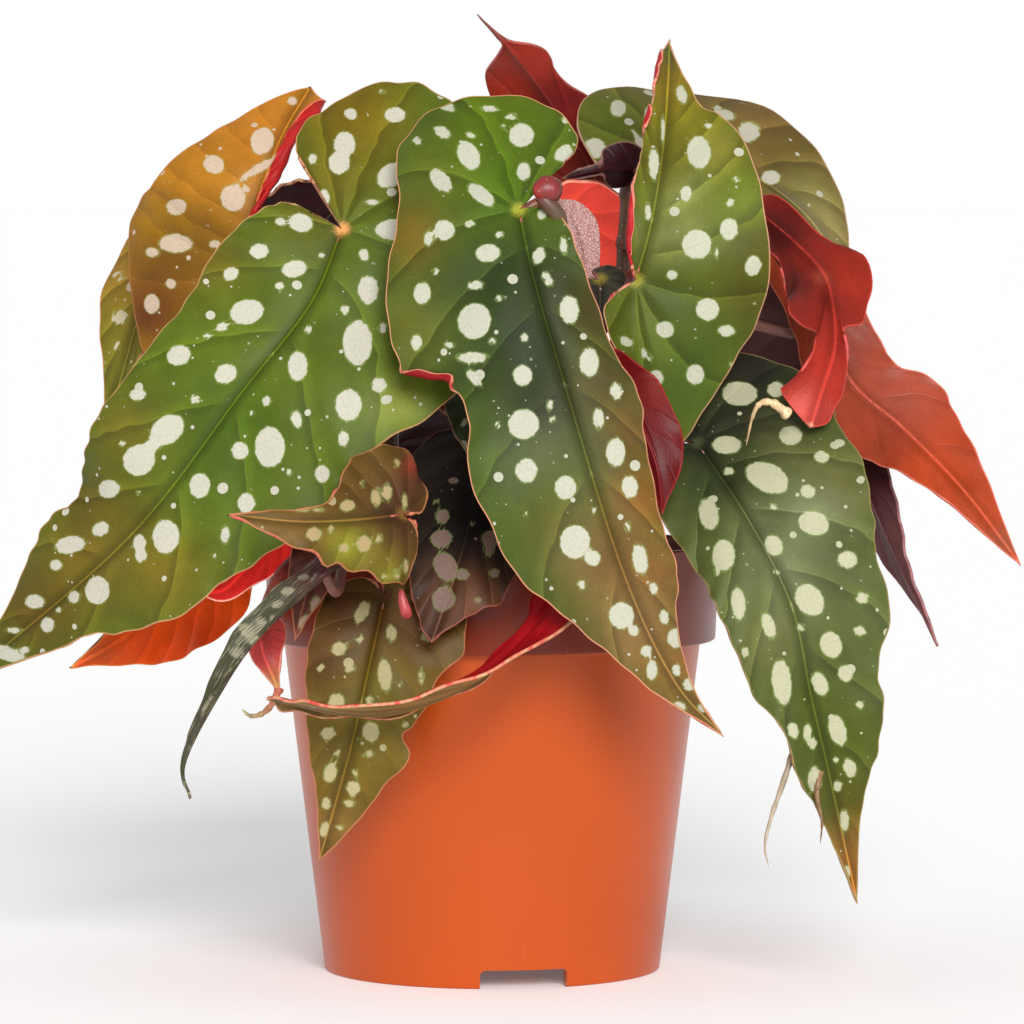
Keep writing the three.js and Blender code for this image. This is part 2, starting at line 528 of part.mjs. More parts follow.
function geometryOf(solid) {
  const { numProp, vertProperties, triVerts } = solid.getMesh();
  const positions = new Float32Array((vertProperties.length / numProp) * 3);
  for (let i = 0; i < positions.length / 3; i += 1) {
    positions.set(vertProperties.subarray(i * numProp, i * numProp + 3), 3 * i);
  }
  const geometry = new THREE.BufferGeometry();
  geometry.setAttribute("position", new THREE.BufferAttribute(positions, 3));
  geometry.setIndex(new THREE.BufferAttribute(triVerts, 1));
  geometry.computeVertexNormals();
  return geometry;
}

// a stalk of rings: the first ring lies in a given plane, the others across the path
function stalk(path, radii, firstNormal) {
  const rings = path.length;
  const positions = [];
  let side = new THREE.Vector3(0, 0, 1).cross(firstNormal).normalize();
  for (let i = 0; i < rings; i += 1) {
    const ahead = path[Math.min(i + 1, rings - 1)];
    const behind = path[Math.max(i - 1, 0)];
    const direction = i === 0 ? firstNormal : ahead.clone().sub(behind).normalize();
    side = side.clone().addScaledVector(direction, -side.dot(direction)).normalize();
    const rise = direction.clone().cross(side);
    for (let k = 0; k < petioleSides; k += 1) {
      const angle = (2 * Math.PI * k) / petioleSides;
      const p = path[i].clone()
        .addScaledVector(side, radii[i] * Math.cos(angle))
        .addScaledVector(rise, radii[i] * Math.sin(angle));
      positions.push(...p.toArray());
    }
  }
  const n = petioleSides;
  const triangles = [];
  for (let k = 1; k + 1 < n; k += 1) {
    triangles.push(0, k + 1, k);
    triangles.push((rings - 1) * n, (rings - 1) * n + k, (rings - 1) * n + k + 1);
  }
  for (let i = 0; i + 1 < rings; i += 1) {
    for (let k = 0; k < n; k += 1) {
      const a = i * n + k;
      const b = i * n + ((k + 1) % n);
      triangles.push(a, b, b + n, a, b + n, a + n);
    }
  }
  return solidFrom(positions, triangles);
}

// the petiole springs from a node of its cane, arches over and meets the blade from below
function petioleOf(leaf) {
  const cane = canes[leaf.cane];
  const height = cane.nodes[leaf.node];
  const axis = pointOnAxis(cane, height);
  const frame = midribFrame(leaf, petioleInset / leaf.length);
  const { along } = caneAxis(cane);
  const towards = frame.point.clone().sub(axis);
  const outward = towards.addScaledVector(along, -towards.dot(along)).normalize();
  const start = axis.clone().addScaledVector(outward, caneRadius(cane, height) + seatGap);
  const below = frame.point.clone().addScaledVector(frame.normal, -6);
  const reach = start.distanceTo(below);
  const via = (leaf.via ?? []).map((p) => new THREE.Vector3(...p));
  if (via.length === 0) {
    via.push(start.clone().lerp(below, 0.5).add(new THREE.Vector3(0, 0, 0.12 * reach)));
  }
  const first = start.clone().addScaledVector(outward, 3);
  const curve = new THREE.CatmullRomCurve3([first, ...via, below, frame.point], false, "centripetal");
  const path = [start, ...curve.getPoints(6)];
  const thick = leaf.stalk ?? 1.8;
  const radii = path.map((_, i) => thick * (1 - (0.35 * i) / (path.length - 1)));
  return stalk(path, radii, outward);
}

function leafSolid(leaf) {
  leaf.curve = curveThrough(leaf.midrib);
  leaf.length = leaf.curve.getLength();
  const rows = leaf.wideHalf ? largeRows : smallRows;
  const wide = {
    curve: curveThrough(leaf.wideHalf ?? wideOutline),
    scale: leaf.wide,
    hand: leaf.hand,
    curl: leaf.curl[0],
    width: 0.33,
    fanTurn: rows.fanTurn,
    bladeRows: rows.blade,
  };
  const narrow = {
    curve: curveThrough(leaf.narrowHalf ?? narrowOutline),
    scale: leaf.narrow,
    hand: -leaf.hand,
    curl: leaf.curl[1],
    width: 0.2,
    fanTurn: rows.fanTurn,
    bladeRows: rows.blade,
  };
  const sheet = mergedSheet([halfSheet(leaf, wide, crossSteps), halfSheet(leaf, narrow, crossSteps)]);
  const blade = thickened(sheet, bladeThickness);
  return blade.add(petioleOf(leaf));
}

function potSolid() {
  const inside = potBodyTopRadius - potWall;
  const profile = [
    [0, potBaseUnderside],
    [potFootRadius - potFootWidth, potBaseUnderside],
    [potFootRadius - potFootWidth, 0.4],
    [potFootRadius - potFootWidth + 0.4, 0],
    [potFootRadius - 0.5, 0],
    [potFootRadius, 0.6],
    [potBodyTopRadius, potRimBottom - 0.5],
    [potRimRadius - 1.6, potRimBottom],
    [potRimRadius - 0.9, potRimBottom + 0.6],
    [potRimRadius, potHeight - 1.6],
    [potRimRadius, potHeight - 0.4],
    [potRimRadius - 0.5, potHeight],
    [potRimRadius - 1.6, potHeight],
    [potRimRadius - 2.1, potHeight - 1],
    [potRimRadius - 2.6, potRimBottom + 3.2],
    [inside, potRimBottom + 1.4],
    [potFootRadius - potWall + 0.4, potBaseUnderside + potBaseThickness + 1.2],
    [potFootRadius - potWall - 1.4, potBaseUnderside + potBaseThickness],
    [0, potBaseUnderside + potBaseThickness],
  ];
  const turned = new THREE.LatheGeometry(profile.map(([r, z]) => new THREE.Vector2(r, z)), potSegments);
  turned.rotateX(Math.PI / 2);
  let pot = solidOf(turned);
  for (const angle of notchAngles) {
    pot = pot.subtract(notchCutter(angle));
  }
  for (let i = 0; i < 6; i += 1) {
    const drain = new THREE.CylinderGeometry(drainRadius, drainRadius, 20, 14);
    drain.rotateX(Math.PI / 2);
    const angle = (Math.PI * i) / 3 + 0.4;
    drain.translate(drainCircle * Math.cos(angle), drainCircle * Math.sin(angle), 5);
    pot = pot.subtract(solidOf(drain));
  }
  return pot;
}

// a low opening through the foot ring, its top corners rounded
function notchCutter(angle) {
  const half = notchWidth / 2;
  const outline = new THREE.Shape();
  outline.moveTo(-half, -2);
  outline.lineTo(half, -2);
  outline.lineTo(half - 0.6, notchHeight - 1.5);
  outline.quadraticCurveTo(half - 0.8, notchHeight, half - 2.4, notchHeight);
  outline.lineTo(-half + 2.8, notchHeight);
  outline.quadraticCurveTo(-half + 1.2, notchHeight, -half + 0.8, notchHeight - 1.5);
  const cutter = new THREE.ExtrudeGeometry(outline, { depth: 16, bevelEnabled: false, curveSegments: 3 });
  cutter.rotateX(Math.PI / 2);
  cutter.translate(0, potFootRadius + 8, 0);
  cutter.rotateZ(THREE.MathUtils.degToRad(angle - 90));
  return solidOf(cutter);
}

function potInsideRadius(height) {
  const low = potBaseUnderside + potBaseThickness + 1.2;
  const share = (height - low) / (potRimBottom + 1.4 - low);
  return THREE.MathUtils.lerp(potFootRadius - potWall + 0.4, potBodyTopRadius - potWall, share);
}

function soilSolid() {
  const bottom = potBaseUnderside + potBaseThickness + seatGap;
  const shoulder = potRimBottom + 1.4;
  const profile = [
    [0, bottom],
    [potFootRadius - potWall - 1.6 - soilClearance, bottom],
    [potInsideRadius(bottom + 1.2) - soilClearance - 0.3, bottom + 1.4],
    [potBodyTopRadius - potWall - soilClearance, shoulder],
    [potRimRadius - 2.6 - soilClearance - 0.2, shoulder + 2.6],
    [potRimRadius - 2.5 - soilClearance - 0.2, soilTop - 2.5],
    [potRimRadius - 6, soilTop - 1],
    [40, soilTop + 0.4 * soilMound],
    [22, soilTop + 0.85 * soilMound],
    [0, soilTop + soilMound],
  ];
  const turned = new THREE.LatheGeometry(profile.map(([r, z]) => new THREE.Vector2(r, z)), 32);
  turned.rotateX(Math.PI / 2);
  let soil = solidOf(turned);
  for (const cane of Object.values(canes)) {
    const hole = new THREE.CylinderGeometry(cane.radius + seatGap, cane.radius + seatGap, 80, 12);
    soil = soil.subtract(solidOf(alongCane(hole, cane, holeBottom() + 40)));
  }
  return soil;
}

function holeBottom() {
  return soilTop - holeDepth;
}

// a piece made along Y is turned onto the cane's axis, its middle at a height
function alongCane(geometry, cane, height) {
  const { along } = caneAxis(cane);
  geometry.applyQuaternion(new THREE.Quaternion().setFromUnitVectors(new THREE.Vector3(0, 1, 0), along));
  const middle = pointOnAxis(cane, height);
  geometry.translate(middle.x, middle.y, middle.z);
  return geometry;
}

function caneSolid(cane) {
  const { top } = caneAxis(cane);
  const low = holeBottom() + seatGap + 1;
  const profile = [[0, low], [caneRadius(cane, low), low]];
  for (const node of cane.nodes) {
    for (const offset of [-2.4, 0, 2.4]) {
      profile.push([caneRadius(cane, node + offset), node + offset]);
    }
  }
  profile.push([0.7 * caneRadius(cane, top.z), top.z - 6], [0.5, top.z], [0, top.z]);
  const turned = new THREE.LatheGeometry(profile.map(([r, z]) => new THREE.Vector2(r, z)), 10);
  turned.translate(0, -(low + top.z) / 2, 0);
  return solidOf(alongCane(turned, cane, (low + top.z) / 2));
}

function piece(name, solid, color, roughness) {
  const material = new THREE.MeshStandardMaterial({ color, roughness, metalness: 0 });
  const mesh = new THREE.Mesh(geometryOf(solid), material);
  mesh.name = name;
  return mesh;
}

const plant = new THREE.Group();
plant.add(piece("pot", potSolid(), "#e0602c", 0.35));
plant.add(piece("soil", soilSolid(), "#3a2c22", 0.95));
for (const [name, cane] of Object.entries(canes)) {
  plant.add(piece(name, caneSolid(cane), "#6a4a34", 0.6));
}
for (const [name, leaf] of Object.entries(leaves)) {
  plant.add(piece(name, leafSolid(leaf), leaf.color, 0.45));
}

export default plant;
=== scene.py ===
import json
import math
import random

import bmesh
import bpy
import numpy as np
from mathutils import Matrix, Vector, noise


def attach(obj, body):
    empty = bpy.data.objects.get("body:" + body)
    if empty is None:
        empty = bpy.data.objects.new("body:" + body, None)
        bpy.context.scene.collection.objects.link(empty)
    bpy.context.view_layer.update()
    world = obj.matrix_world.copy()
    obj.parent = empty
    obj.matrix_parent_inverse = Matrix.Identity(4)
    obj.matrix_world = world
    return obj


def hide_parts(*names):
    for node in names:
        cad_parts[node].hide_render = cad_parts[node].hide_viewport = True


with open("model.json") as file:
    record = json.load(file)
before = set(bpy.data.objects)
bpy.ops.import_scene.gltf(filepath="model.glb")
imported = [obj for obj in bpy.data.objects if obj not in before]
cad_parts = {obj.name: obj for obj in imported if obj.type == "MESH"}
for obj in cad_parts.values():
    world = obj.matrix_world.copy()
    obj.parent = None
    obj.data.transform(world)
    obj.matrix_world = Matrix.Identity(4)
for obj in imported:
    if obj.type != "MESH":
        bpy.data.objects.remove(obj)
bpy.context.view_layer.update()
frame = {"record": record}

metre = 0.001  # sizes below are millimetres, Blender's are metres
perSquareDecimetre = 1e4  # square millimetres


class Field:  # a socket that carries a number; arithmetic on it adds Math nodes
    def __init__(self, finish, socket):
        self.finish = finish
        self.socket = socket

    def maths(self, operation, *terms):
        made = self.finish.node("ShaderNodeMath", {"operation": operation}, dict(enumerate(terms)))
        return Field(self.finish, made.outputs[0])

    def __add__(self, other):
        return self.maths("ADD", self, other)

    def __radd__(self, other):
        return self.maths("ADD", other, self)

    def __sub__(self, other):
        return self.maths("SUBTRACT", self, other)

    def __rsub__(self, other):
        return self.maths("SUBTRACT", other, self)

    def __mul__(self, other):
        return self.maths("MULTIPLY", self, other)

    def __rmul__(self, other):
        return self.maths("MULTIPLY", other, self)

    def __truediv__(self, other):
        return self.maths("DIVIDE", self, other)

    def __abs__(self):
        return self.maths("ABSOLUTE", self)

    def most(self, other):
        return self.maths("MAXIMUM", self, other)

    def ramp(self, low, high, start=0.0, end=1.0):  # start below low, end above high, smooth between
        values = {0: self, 1: low, 2: high, 3: start, 4: end}
        settings = {"interpolation_type": "SMOOTHSTEP"}
        return Field(self.finish, self.finish.node("ShaderNodeMapRange", settings, values).outputs[0])


class Finish:  # one material, or the studio's light, and its nodes
    def __init__(self, name, owner=None):
        self.material = owner or bpy.data.materials.new(name)
        self.material.use_nodes = True
        if not owner:
            self.material.cycles.emission_sampling = "NONE"
        self.tree = self.material.node_tree
        self.tree.nodes.clear()

    def node(self, kind, settings=None, values=None):
        made = self.tree.nodes.new(kind)
        for key, value in (settings or {}).items():
            setattr(made, key, value)
        for key, value in (values or {}).items():
            source = value.socket if isinstance(value, Field) else value
            if isinstance(source, bpy.types.NodeSocket):
                self.tree.links.new(source, made.inputs[key])
            else:
                made.inputs[key].default_value = source
        return made

    def attribute(self, name, output="Fac"):
        made = self.node("ShaderNodeAttribute", {"attribute_name": name})
        return Field(self, made.outputs[output])

    def objectPlace(self, perMetre=1000.0):  # the piece's own coordinates, in millimetres
        place = self.node("ShaderNodeTexCoord").outputs["Object"]
        return self.scaled(place, perMetre)

    def scaled(self, vector, factor):
        factors = factor if isinstance(factor, tuple) else (factor,) * 3
        made = self.node("ShaderNodeVectorMath", {"operation": "MULTIPLY"}, {0: vector, 1: factors})
        return Field(self, made.outputs[0])

    def noise(self, place, scale, detail=2.0, roughness=0.5):
        values = {"Vector": place, "Scale": scale, "Detail": detail, "Roughness": roughness}
        return Field(self, self.node("ShaderNodeTexNoise", {}, values).outputs[0])

    def cells(self, place, scale, feature="F1", output="Distance"):
        values = {"Vector": place, "Scale": scale}
        made = self.node("ShaderNodeTexVoronoi", {"feature": feature}, values)
        return Field(self, made.outputs[output])

    def part(self, colour, channel):  # one channel of a colour as a number
        made = self.node("ShaderNodeSeparateColor", {}, {0: colour})
        return Field(self, made.outputs[channel])

    def mix(self, factor, first, second, blend="MIX"):
        settings = {"data_type": "RGBA", "blend_type": blend, "clamp_factor": True}
        made = self.node("ShaderNodeMix", settings, {0: factor, 6: first, 7: second})
        return Field(self, made.outputs[2])

    def toned(self, tint, share):  # a colour made darker or lighter
        grey = self.node("ShaderNodeCombineColor", {}, {0: share, 1: share, 2: share}).outputs[0]
        return self.mix(1.0, tint, grey, "MULTIPLY")

    def bump(self, height, depth):  # depth in millimetres for a height of 1
        values = {"Height": height, "Strength": 1.0, "Distance": depth * metre}
        return Field(self, self.node("ShaderNodeBump", {}, values).outputs[0])

    def shade(self, **values):
        shader = self.node("ShaderNodeBsdfPrincipled", {}, values)
        self.node("ShaderNodeOutputMaterial", {}, {"Surface": shader.outputs[0]})
        return self.material


def colour(red, green, blue):  # screen values from 0 to 255 as the linear colour Blender uses
    def linear(value):
        share = value / 255
        return share / 12.92 if share <= 0.04045 else ((share + 0.055) / 1.055) ** 2.4
    return (linear(red), linear(green), linear(blue), 1.0)


view = {
    "place": (5.3, -1540.0, 205.0),
    "horizonRow": 198,
    "size": 1024,
    "focalPixels": 5800,
    "sensor": 36.0,
}
viewPitch = math.atan((view["size"] / 2 - view["horizonRow"]) / view["focalPixels"])


def addCamera():
    data = bpy.data.cameras.new("camera")
    data.sensor_width = view["sensor"]
    data.lens = view["focalPixels"] * view["sensor"] / view["size"]
    data.clip_end = 1000
    camera = bpy.data.objects.new("camera", data)
    camera.location = Vector(view["place"]) * metre
    camera.rotation_euler = (math.pi / 2 - viewPitch, 0, 0)
    bpy.context.scene.collection.objects.link(camera)
    bpy.context.scene.camera = camera


def seenAt(points):  # where points in millimetres lie in the picture
    away = points - np.array(view["place"])
    ahead = away[:, 1] * math.cos(viewPitch) - away[:, 2] * math.sin(viewPitch)
    up = away[:, 1] * math.sin(viewPitch) + away[:, 2] * math.cos(viewPitch)
    middle = view["size"] / 2
    across = middle + view["focalPixels"] * away[:, 0] / ahead
    down = middle - view["focalPixels"] * up / ahead
    return np.stack([across, down], axis=1)


def curvePoint(controls, share):  # a smooth curve through the controls
    controls = np.array([list(p) for p in controls], float)
    count = len(controls)
    ends = [2 * controls[0] - controls[1]], [2 * controls[-1] - controls[-2]]
    padded = np.vstack([ends[0], controls, ends[1]])
    place = np.clip(np.asarray(share, float), 0, 1) * (count - 1)
    index = np.minimum(place.astype(int), count - 2)
    t = (place - index)[..., None]
    before, start, end, after = (padded[index + k] for k in range(4))
    leave = (end - before) / 2
    arrive = (after - start) / 2
    square = 3 * (end - start) - 2 * leave - arrive
    cube = 2 * (start - end) + leave + arrive
    return start + leave * t + square * t ** 2 + cube * t ** 3


def unit(vectors):
    return vectors / np.linalg.norm(vectors, axis=-1, keepdims=True)


class Midrib:  # the leaf's middle line with its directions
    def __init__(self, leaf):
        self.controls = leaf["midrib"]
        self.face = np.array(leaf["face"], float)
        self.steps = np.linspace(0, 1, 201)
        points = curvePoint(self.controls, self.steps)
        spans = np.linalg.norm(np.diff(points, axis=0), axis=1)
        self.lengths = np.concatenate([[0], np.cumsum(spans)])
        self.length = self.lengths[-1]

    def at(self, share):
        place = np.interp(np.asarray(share) * self.length, self.lengths, self.steps)
        return curvePoint(self.controls, place)

    def frames(self, share):
        point = self.at(share)
        ahead = self.at(np.minimum(share + 0.01, 1))
        behind = self.at(np.maximum(share - 0.01, 0))
        tangent = unit(ahead - behind)
        face = self.face[0] + (self.face[1] - self.face[0]) * share[..., None]
        across = unit(np.cross(tangent, face))
        return point, tangent, across, unit(np.cross(across, tangent))


blade = {
    "thickness": 0.8,
    "veinSweep": 1.35,
    "lobeDroop": 1.4,
    "wideWidth": 0.33,  # half widths that the curl is given for, in midrib lengths
    "narrowWidth": 0.2,
    "marginColumn": 0.45,
    "veins": 7,
    "veinTurn": 36.0,  # degrees between the veins of the lobes
    "veinBend": 0.45,
    "quilt": 0.45,
    "groove": 0.45,
    "grooveWidth": 1.3,
    "ragged": 0.32,
    "raggedEvery": 19,  # millimetres of outline for one wave
    "raggedWaves": (0.6, 1, 2.3),
    "frill": 0.45,
    "frillEvery": 11,
    "swell": 0.8,
    "swellTurns": (0.0, 1.1, 2.2),
    "swellSizes": (4.5, 8),
    "fullGap": 9,  # the quilting is full past these widths and distances from the midrib and the margin
    "fullMid": 8,
    "fullEdge": 6,
    "swellFade": 12,
    "raggedFade": 14,
    "rollSteps": 9,
    "rollStart": 0.25,
    "rollFade": 0.3,  # share of a rolled stretch in which it grows or dies away
}

wideOutline = [
    (0, 0), (-0.05, -0.03), (-0.1, -0.08), (-0.19, -0.1), (-0.27, -0.03), (-0.3, 0.08), (-0.26, 0.2),
    (-0.17, 0.28), (-0.03, 0.33), (0.14, 0.33), (0.32, 0.29), (0.48, 0.23), (0.64, 0.155), (0.78, 0.09),
    (0.9, 0.035), (1, 0),
]
narrowOutline = [
    (0, 0), (-0.005, 0.045), (-0.015, 0.1), (0.03, 0.155), (0.13, 0.19), (0.28, 0.19), (0.44, 0.17),
    (0.6, 0.13), (0.76, 0.075), (0.9, 0.03), (1, 0),
]


def turnBack(point):  # how far the outline has turned round the petiole, past straight sideways
    return np.degrees(np.arctan2(-point[..., 0], point[..., 1]))


def lobeShares(outline):  # where the outline lies furthest round the petiole, and where it passes beside it
    last = 1.0
    while last > 0.1 and curvePoint(outline, last)[0] > 0:
        last -= 0.01
    shares = np.append(last, np.arange(0.04, last, 0.01))
    return shares[np.argmax(turnBack(curvePoint(outline, shares)))], last


def spanOf(outline, first, last, length):  # millimetres of outline between two shares
    points = curvePoint(outline, np.linspace(first, last, 60)) * length
    return np.linalg.norm(np.diff(points, axis=0), axis=1).sum()


class HalfBlade:  # a grid over one half of a blade: rows run from the midrib out to the margin
    def __init__(self, leaf, midrib, wide, spacing, seed):
        form = blade
        draw = random.Random(seed)
        length = midrib.length
        outline = leaf.get("wideHalf", wideOutline) if wide else leaf.get("narrowHalf", narrowOutline)
        scale = leaf["wide"] if wide else leaf["narrow"]
        hand = leaf["hand"] if wide else -leaf["hand"]
        curl = math.radians(leaf["curl"][0 if wide else 1])
        halfWidth = form["wideWidth"] if wide else form["narrowWidth"]
        first, last = lobeShares(outline)
        lobeRows = max(2, round(spanOf(outline, first, last, length) / spacing)) if first < last else 0
        bladeRows = max(12, round(spanOf(outline, last, 1, length) / spacing))
        lobe = np.arange(lobeRows) / max(lobeRows, 1)
        part = np.linspace(0, 1, bladeRows + 1)
        spine = np.concatenate([np.zeros(lobeRows), part ** form["veinSweep"]])
        share = np.concatenate([first + (last - first) * lobe, last + (1 - last) * part])
        lobeVeins = turnBack(curvePoint(outline, first)) / form["veinTurn"]
        veins = leaf.get("veins", form["veins"])
        vein = np.concatenate([-(1 - lobe) * lobeVeins, part * veins])
        bendFade = np.concatenate([lobe, np.ones(bladeRows + 1)])
        margin = curvePoint(outline, share)
        along = np.where(margin[:, 0] < 0, margin[:, 0] * leaf["lobe"], margin[:, 0])
        reach = margin[:, 1] * scale
        rowVector = np.stack([along - spine, reach], axis=1) * length
        rowLength = np.linalg.norm(rowVector, axis=1)
        columns = max(5, round(rowLength.max() * 0.9 / spacing))
        inner = 1 - form["marginColumn"] / rowLength.max()
        cross = np.append(np.linspace(0, inner, columns), 1.0)
        waves = spanOf(outline, first, 1, length) / form["raggedEvery"]
        ragged = sum(
            math.sqrt(1 / k) * np.sin(2 * math.pi * (share * waves * k + draw.random()))
            for k in form["raggedWaves"]
        )
        fading = np.minimum(1, rowLength / form["raggedFade"]) * np.minimum(1, 6 * (1 - share))
        wobble = leaf.get("rough", 1) * form["ragged"] * ragged * fading
        reached = cross[None, :] * (1 + wobble / np.maximum(rowLength, 3))[:, None]
        u = spine[:, None] + (along - spine)[:, None] * reached
        v = reach[:, None] * length * reached
        self.flat = np.stack([u * length, hand * v * np.ones_like(u)], axis=2)
        self.side = 1 if wide else -1
        rowWay = unit(rowVector + 1e-9)
        stepOut = np.gradient(self.flat[:, -1] * [1, hand], axis=0)
        slope = np.abs(rowWay[:, 0] * stepOut[:, 1] - rowWay[:, 1] * stepOut[:, 0])
        slope /= np.maximum(np.linalg.norm(stepOut, axis=1), 1e-6)
        self.edge = (1 - cross)[None, :] * (rowLength * np.clip(slope, 0.15, 1))[:, None]
        self.mid = np.where(u > 0, v, np.hypot(u * length, v))
        self.vein = vein[:, None] - form["veinBend"] * bendFade[:, None] * cross[None, :] ** 1.7
        flatStep = np.gradient(self.flat, axis=0)
        aside = np.abs(flatStep[..., 0] * rowWay[:, None, 1] * hand - flatStep[..., 1] * rowWay[:, None, 0])
        self.gap = aside / np.maximum(np.abs(np.gradient(self.vein, axis=0)), 1e-6)
        self.way = rowWay * [1, hand]
        self.share = share
        self.cross = cross
        self.hand = hand
        self.length = length
        self.place(leaf, midrib, u, v, curl, halfWidth, draw)

    def place(self, leaf, midrib, u, v, curl, halfWidth, draw):
        form = blade
        length = self.length
        point, tangent, across, normal = midrib.frames(np.clip(u, 0, 1))
        droop = leaf.get("droop", form["lobeDroop"])
        angle = (droop * np.maximum(-u, 0))[..., None]
        hanging = length / droop
        point = point - tangent * hanging * np.sin(angle) - normal * hanging * (1 - np.cos(angle))
        normal = normal * np.cos(angle) - tangent * np.sin(angle)
        fold = math.radians(leaf["fold"])
        bend = (curl or 1e-4) / (halfWidth * length)
        out = (np.sin(fold + bend * v) - math.sin(fold)) / bend
        up = (math.cos(fold) - np.cos(fold + bend * v)) / bend
        height, waves, phase = leaf["ripple"]
        cross = self.cross[None, :]
        share = self.share[:, None]
        fade = cross ** 2 * np.minimum(1, 4 * (1 - share))
        up = up + height * fade * np.sin(2 * math.pi * (waves * share + phase))
        frills = spanOf(leaf.get("wideHalf", wideOutline), 0, 1, length) / form["frillEvery"]
        frill = leaf.get("rough", 1) * form["frill"] * cross ** 5 * fade
        up = up + frill * np.sin(2 * math.pi * (frills * share + draw.random()))
        for turn in form["swellTurns"]:
            x = self.flat[..., 0] * math.cos(turn) + self.flat[..., 1] * math.sin(turn)
            wave = np.sin(x / draw.uniform(*form["swellSizes"]) + draw.uniform(0, 6))
            up = up + form["swell"] * 0.5 * np.minimum(1, self.mid / form["swellFade"]) * wave
        pillow = 0.5 - 0.5 * np.cos(2 * math.pi * self.vein)
        quilt = form["quilt"] * np.minimum(1, self.gap / form["fullGap"])
        quilt = quilt * np.minimum(1, self.mid / form["fullMid"])
        up = up + quilt * pillow * np.minimum(1, self.edge / form["fullEdge"])
        up = up - form["groove"] * np.exp(-(self.mid / form["grooveWidth"]) ** 2)
        self.points = point + across * (self.hand * out)[..., None] + normal * up[..., None]
        self.normal = normal

    def roll(self, rolls):  # the margin rolls over between shares of the outline
        steps = blade["rollSteps"]
        reach = np.full(self.share.shape, blade["rollStart"])
        turn = np.full(self.share.shape, 1e-3)
        tight = np.ones(self.share.shape)
        for first, last, width, degrees, bent in rolls:
            inside = np.minimum(self.share - first, last - self.share)
            window = np.clip(inside / (blade["rollFade"] * (last - first)), 0, 1)
            window = window * window * (3 - 2 * window)
            reach += width * window
            turn += math.radians(degrees) * window
            tight += (1 / bent - 1) * window
        part = np.linspace(0, 1, steps + 1)[1:][None, :]
        step = (reach / steps)[:, None]
        angle = turn[:, None] * np.minimum(1, (part - 0.5 / steps) * tight[:, None])
        outward = unit(self.points[:, -1] - self.points[:, -2])
        outward[-1] = outward[-2]
        upward = unit(self.normal[:, -1] - outward * (self.normal[:, -1] * outward).sum(1)[:, None])
        ahead, above = np.cumsum(step * np.cos(angle), axis=1), np.cumsum(step * np.sin(angle), axis=1)
        rolled = self.points[:, -1][:, None, :] + outward[:, None, :] * ahead[..., None]
        rolled = rolled + upward[:, None, :] * above[..., None]
        distance = reach[:, None] * part
        self.points = np.concatenate([self.points, rolled], axis=1)
        self.edge = np.concatenate([self.edge + reach[:, None], reach[:, None] - distance], axis=1)
        flat = self.flat[:, -1][:, None, :] + self.way[:, None, :] * distance[..., None]
        self.flat = np.concatenate([self.flat, flat], axis=1)
        for name in ("mid", "vein", "gap"):
            values = getattr(self, name)
            setattr(self, name, np.concatenate([values, np.repeat(values[:, -1:], steps, axis=1)], axis=1))


# canes: foot and top of the axis, radius at the foot, heights of the nodes
canes = {
    "cane_left": {
        "foot": (-18, -2, 0), "top": (-31, -6, 198), "radius": 3, "nodes": (112, 128, 144, 160, 174, 187),
    },
    "cane_low": {
        "foot": (-20, -24, 0), "top": (-31, -37, 152), "radius": 2.7,
        "nodes": (104, 111, 118, 126, 134, 143),
    },
    "cane_middle": {
        "foot": (7, -16, 0), "top": (20, -24, 194), "radius": 2.9,
        "nodes": (106, 120, 134, 148, 160, 172, 184),
    },
    "cane_right": {
        "foot": (24, 6, 0), "top": (37, -3, 216), "radius": 3,
        "nodes": (110, 124, 138, 152, 166, 180, 193, 206),
    },
    "cane_back": {
        "foot": (-4, 22, 0), "top": (-8, 32, 200), "radius": 3, "nodes": (110, 128, 146, 164, 178, 190),
    },
}

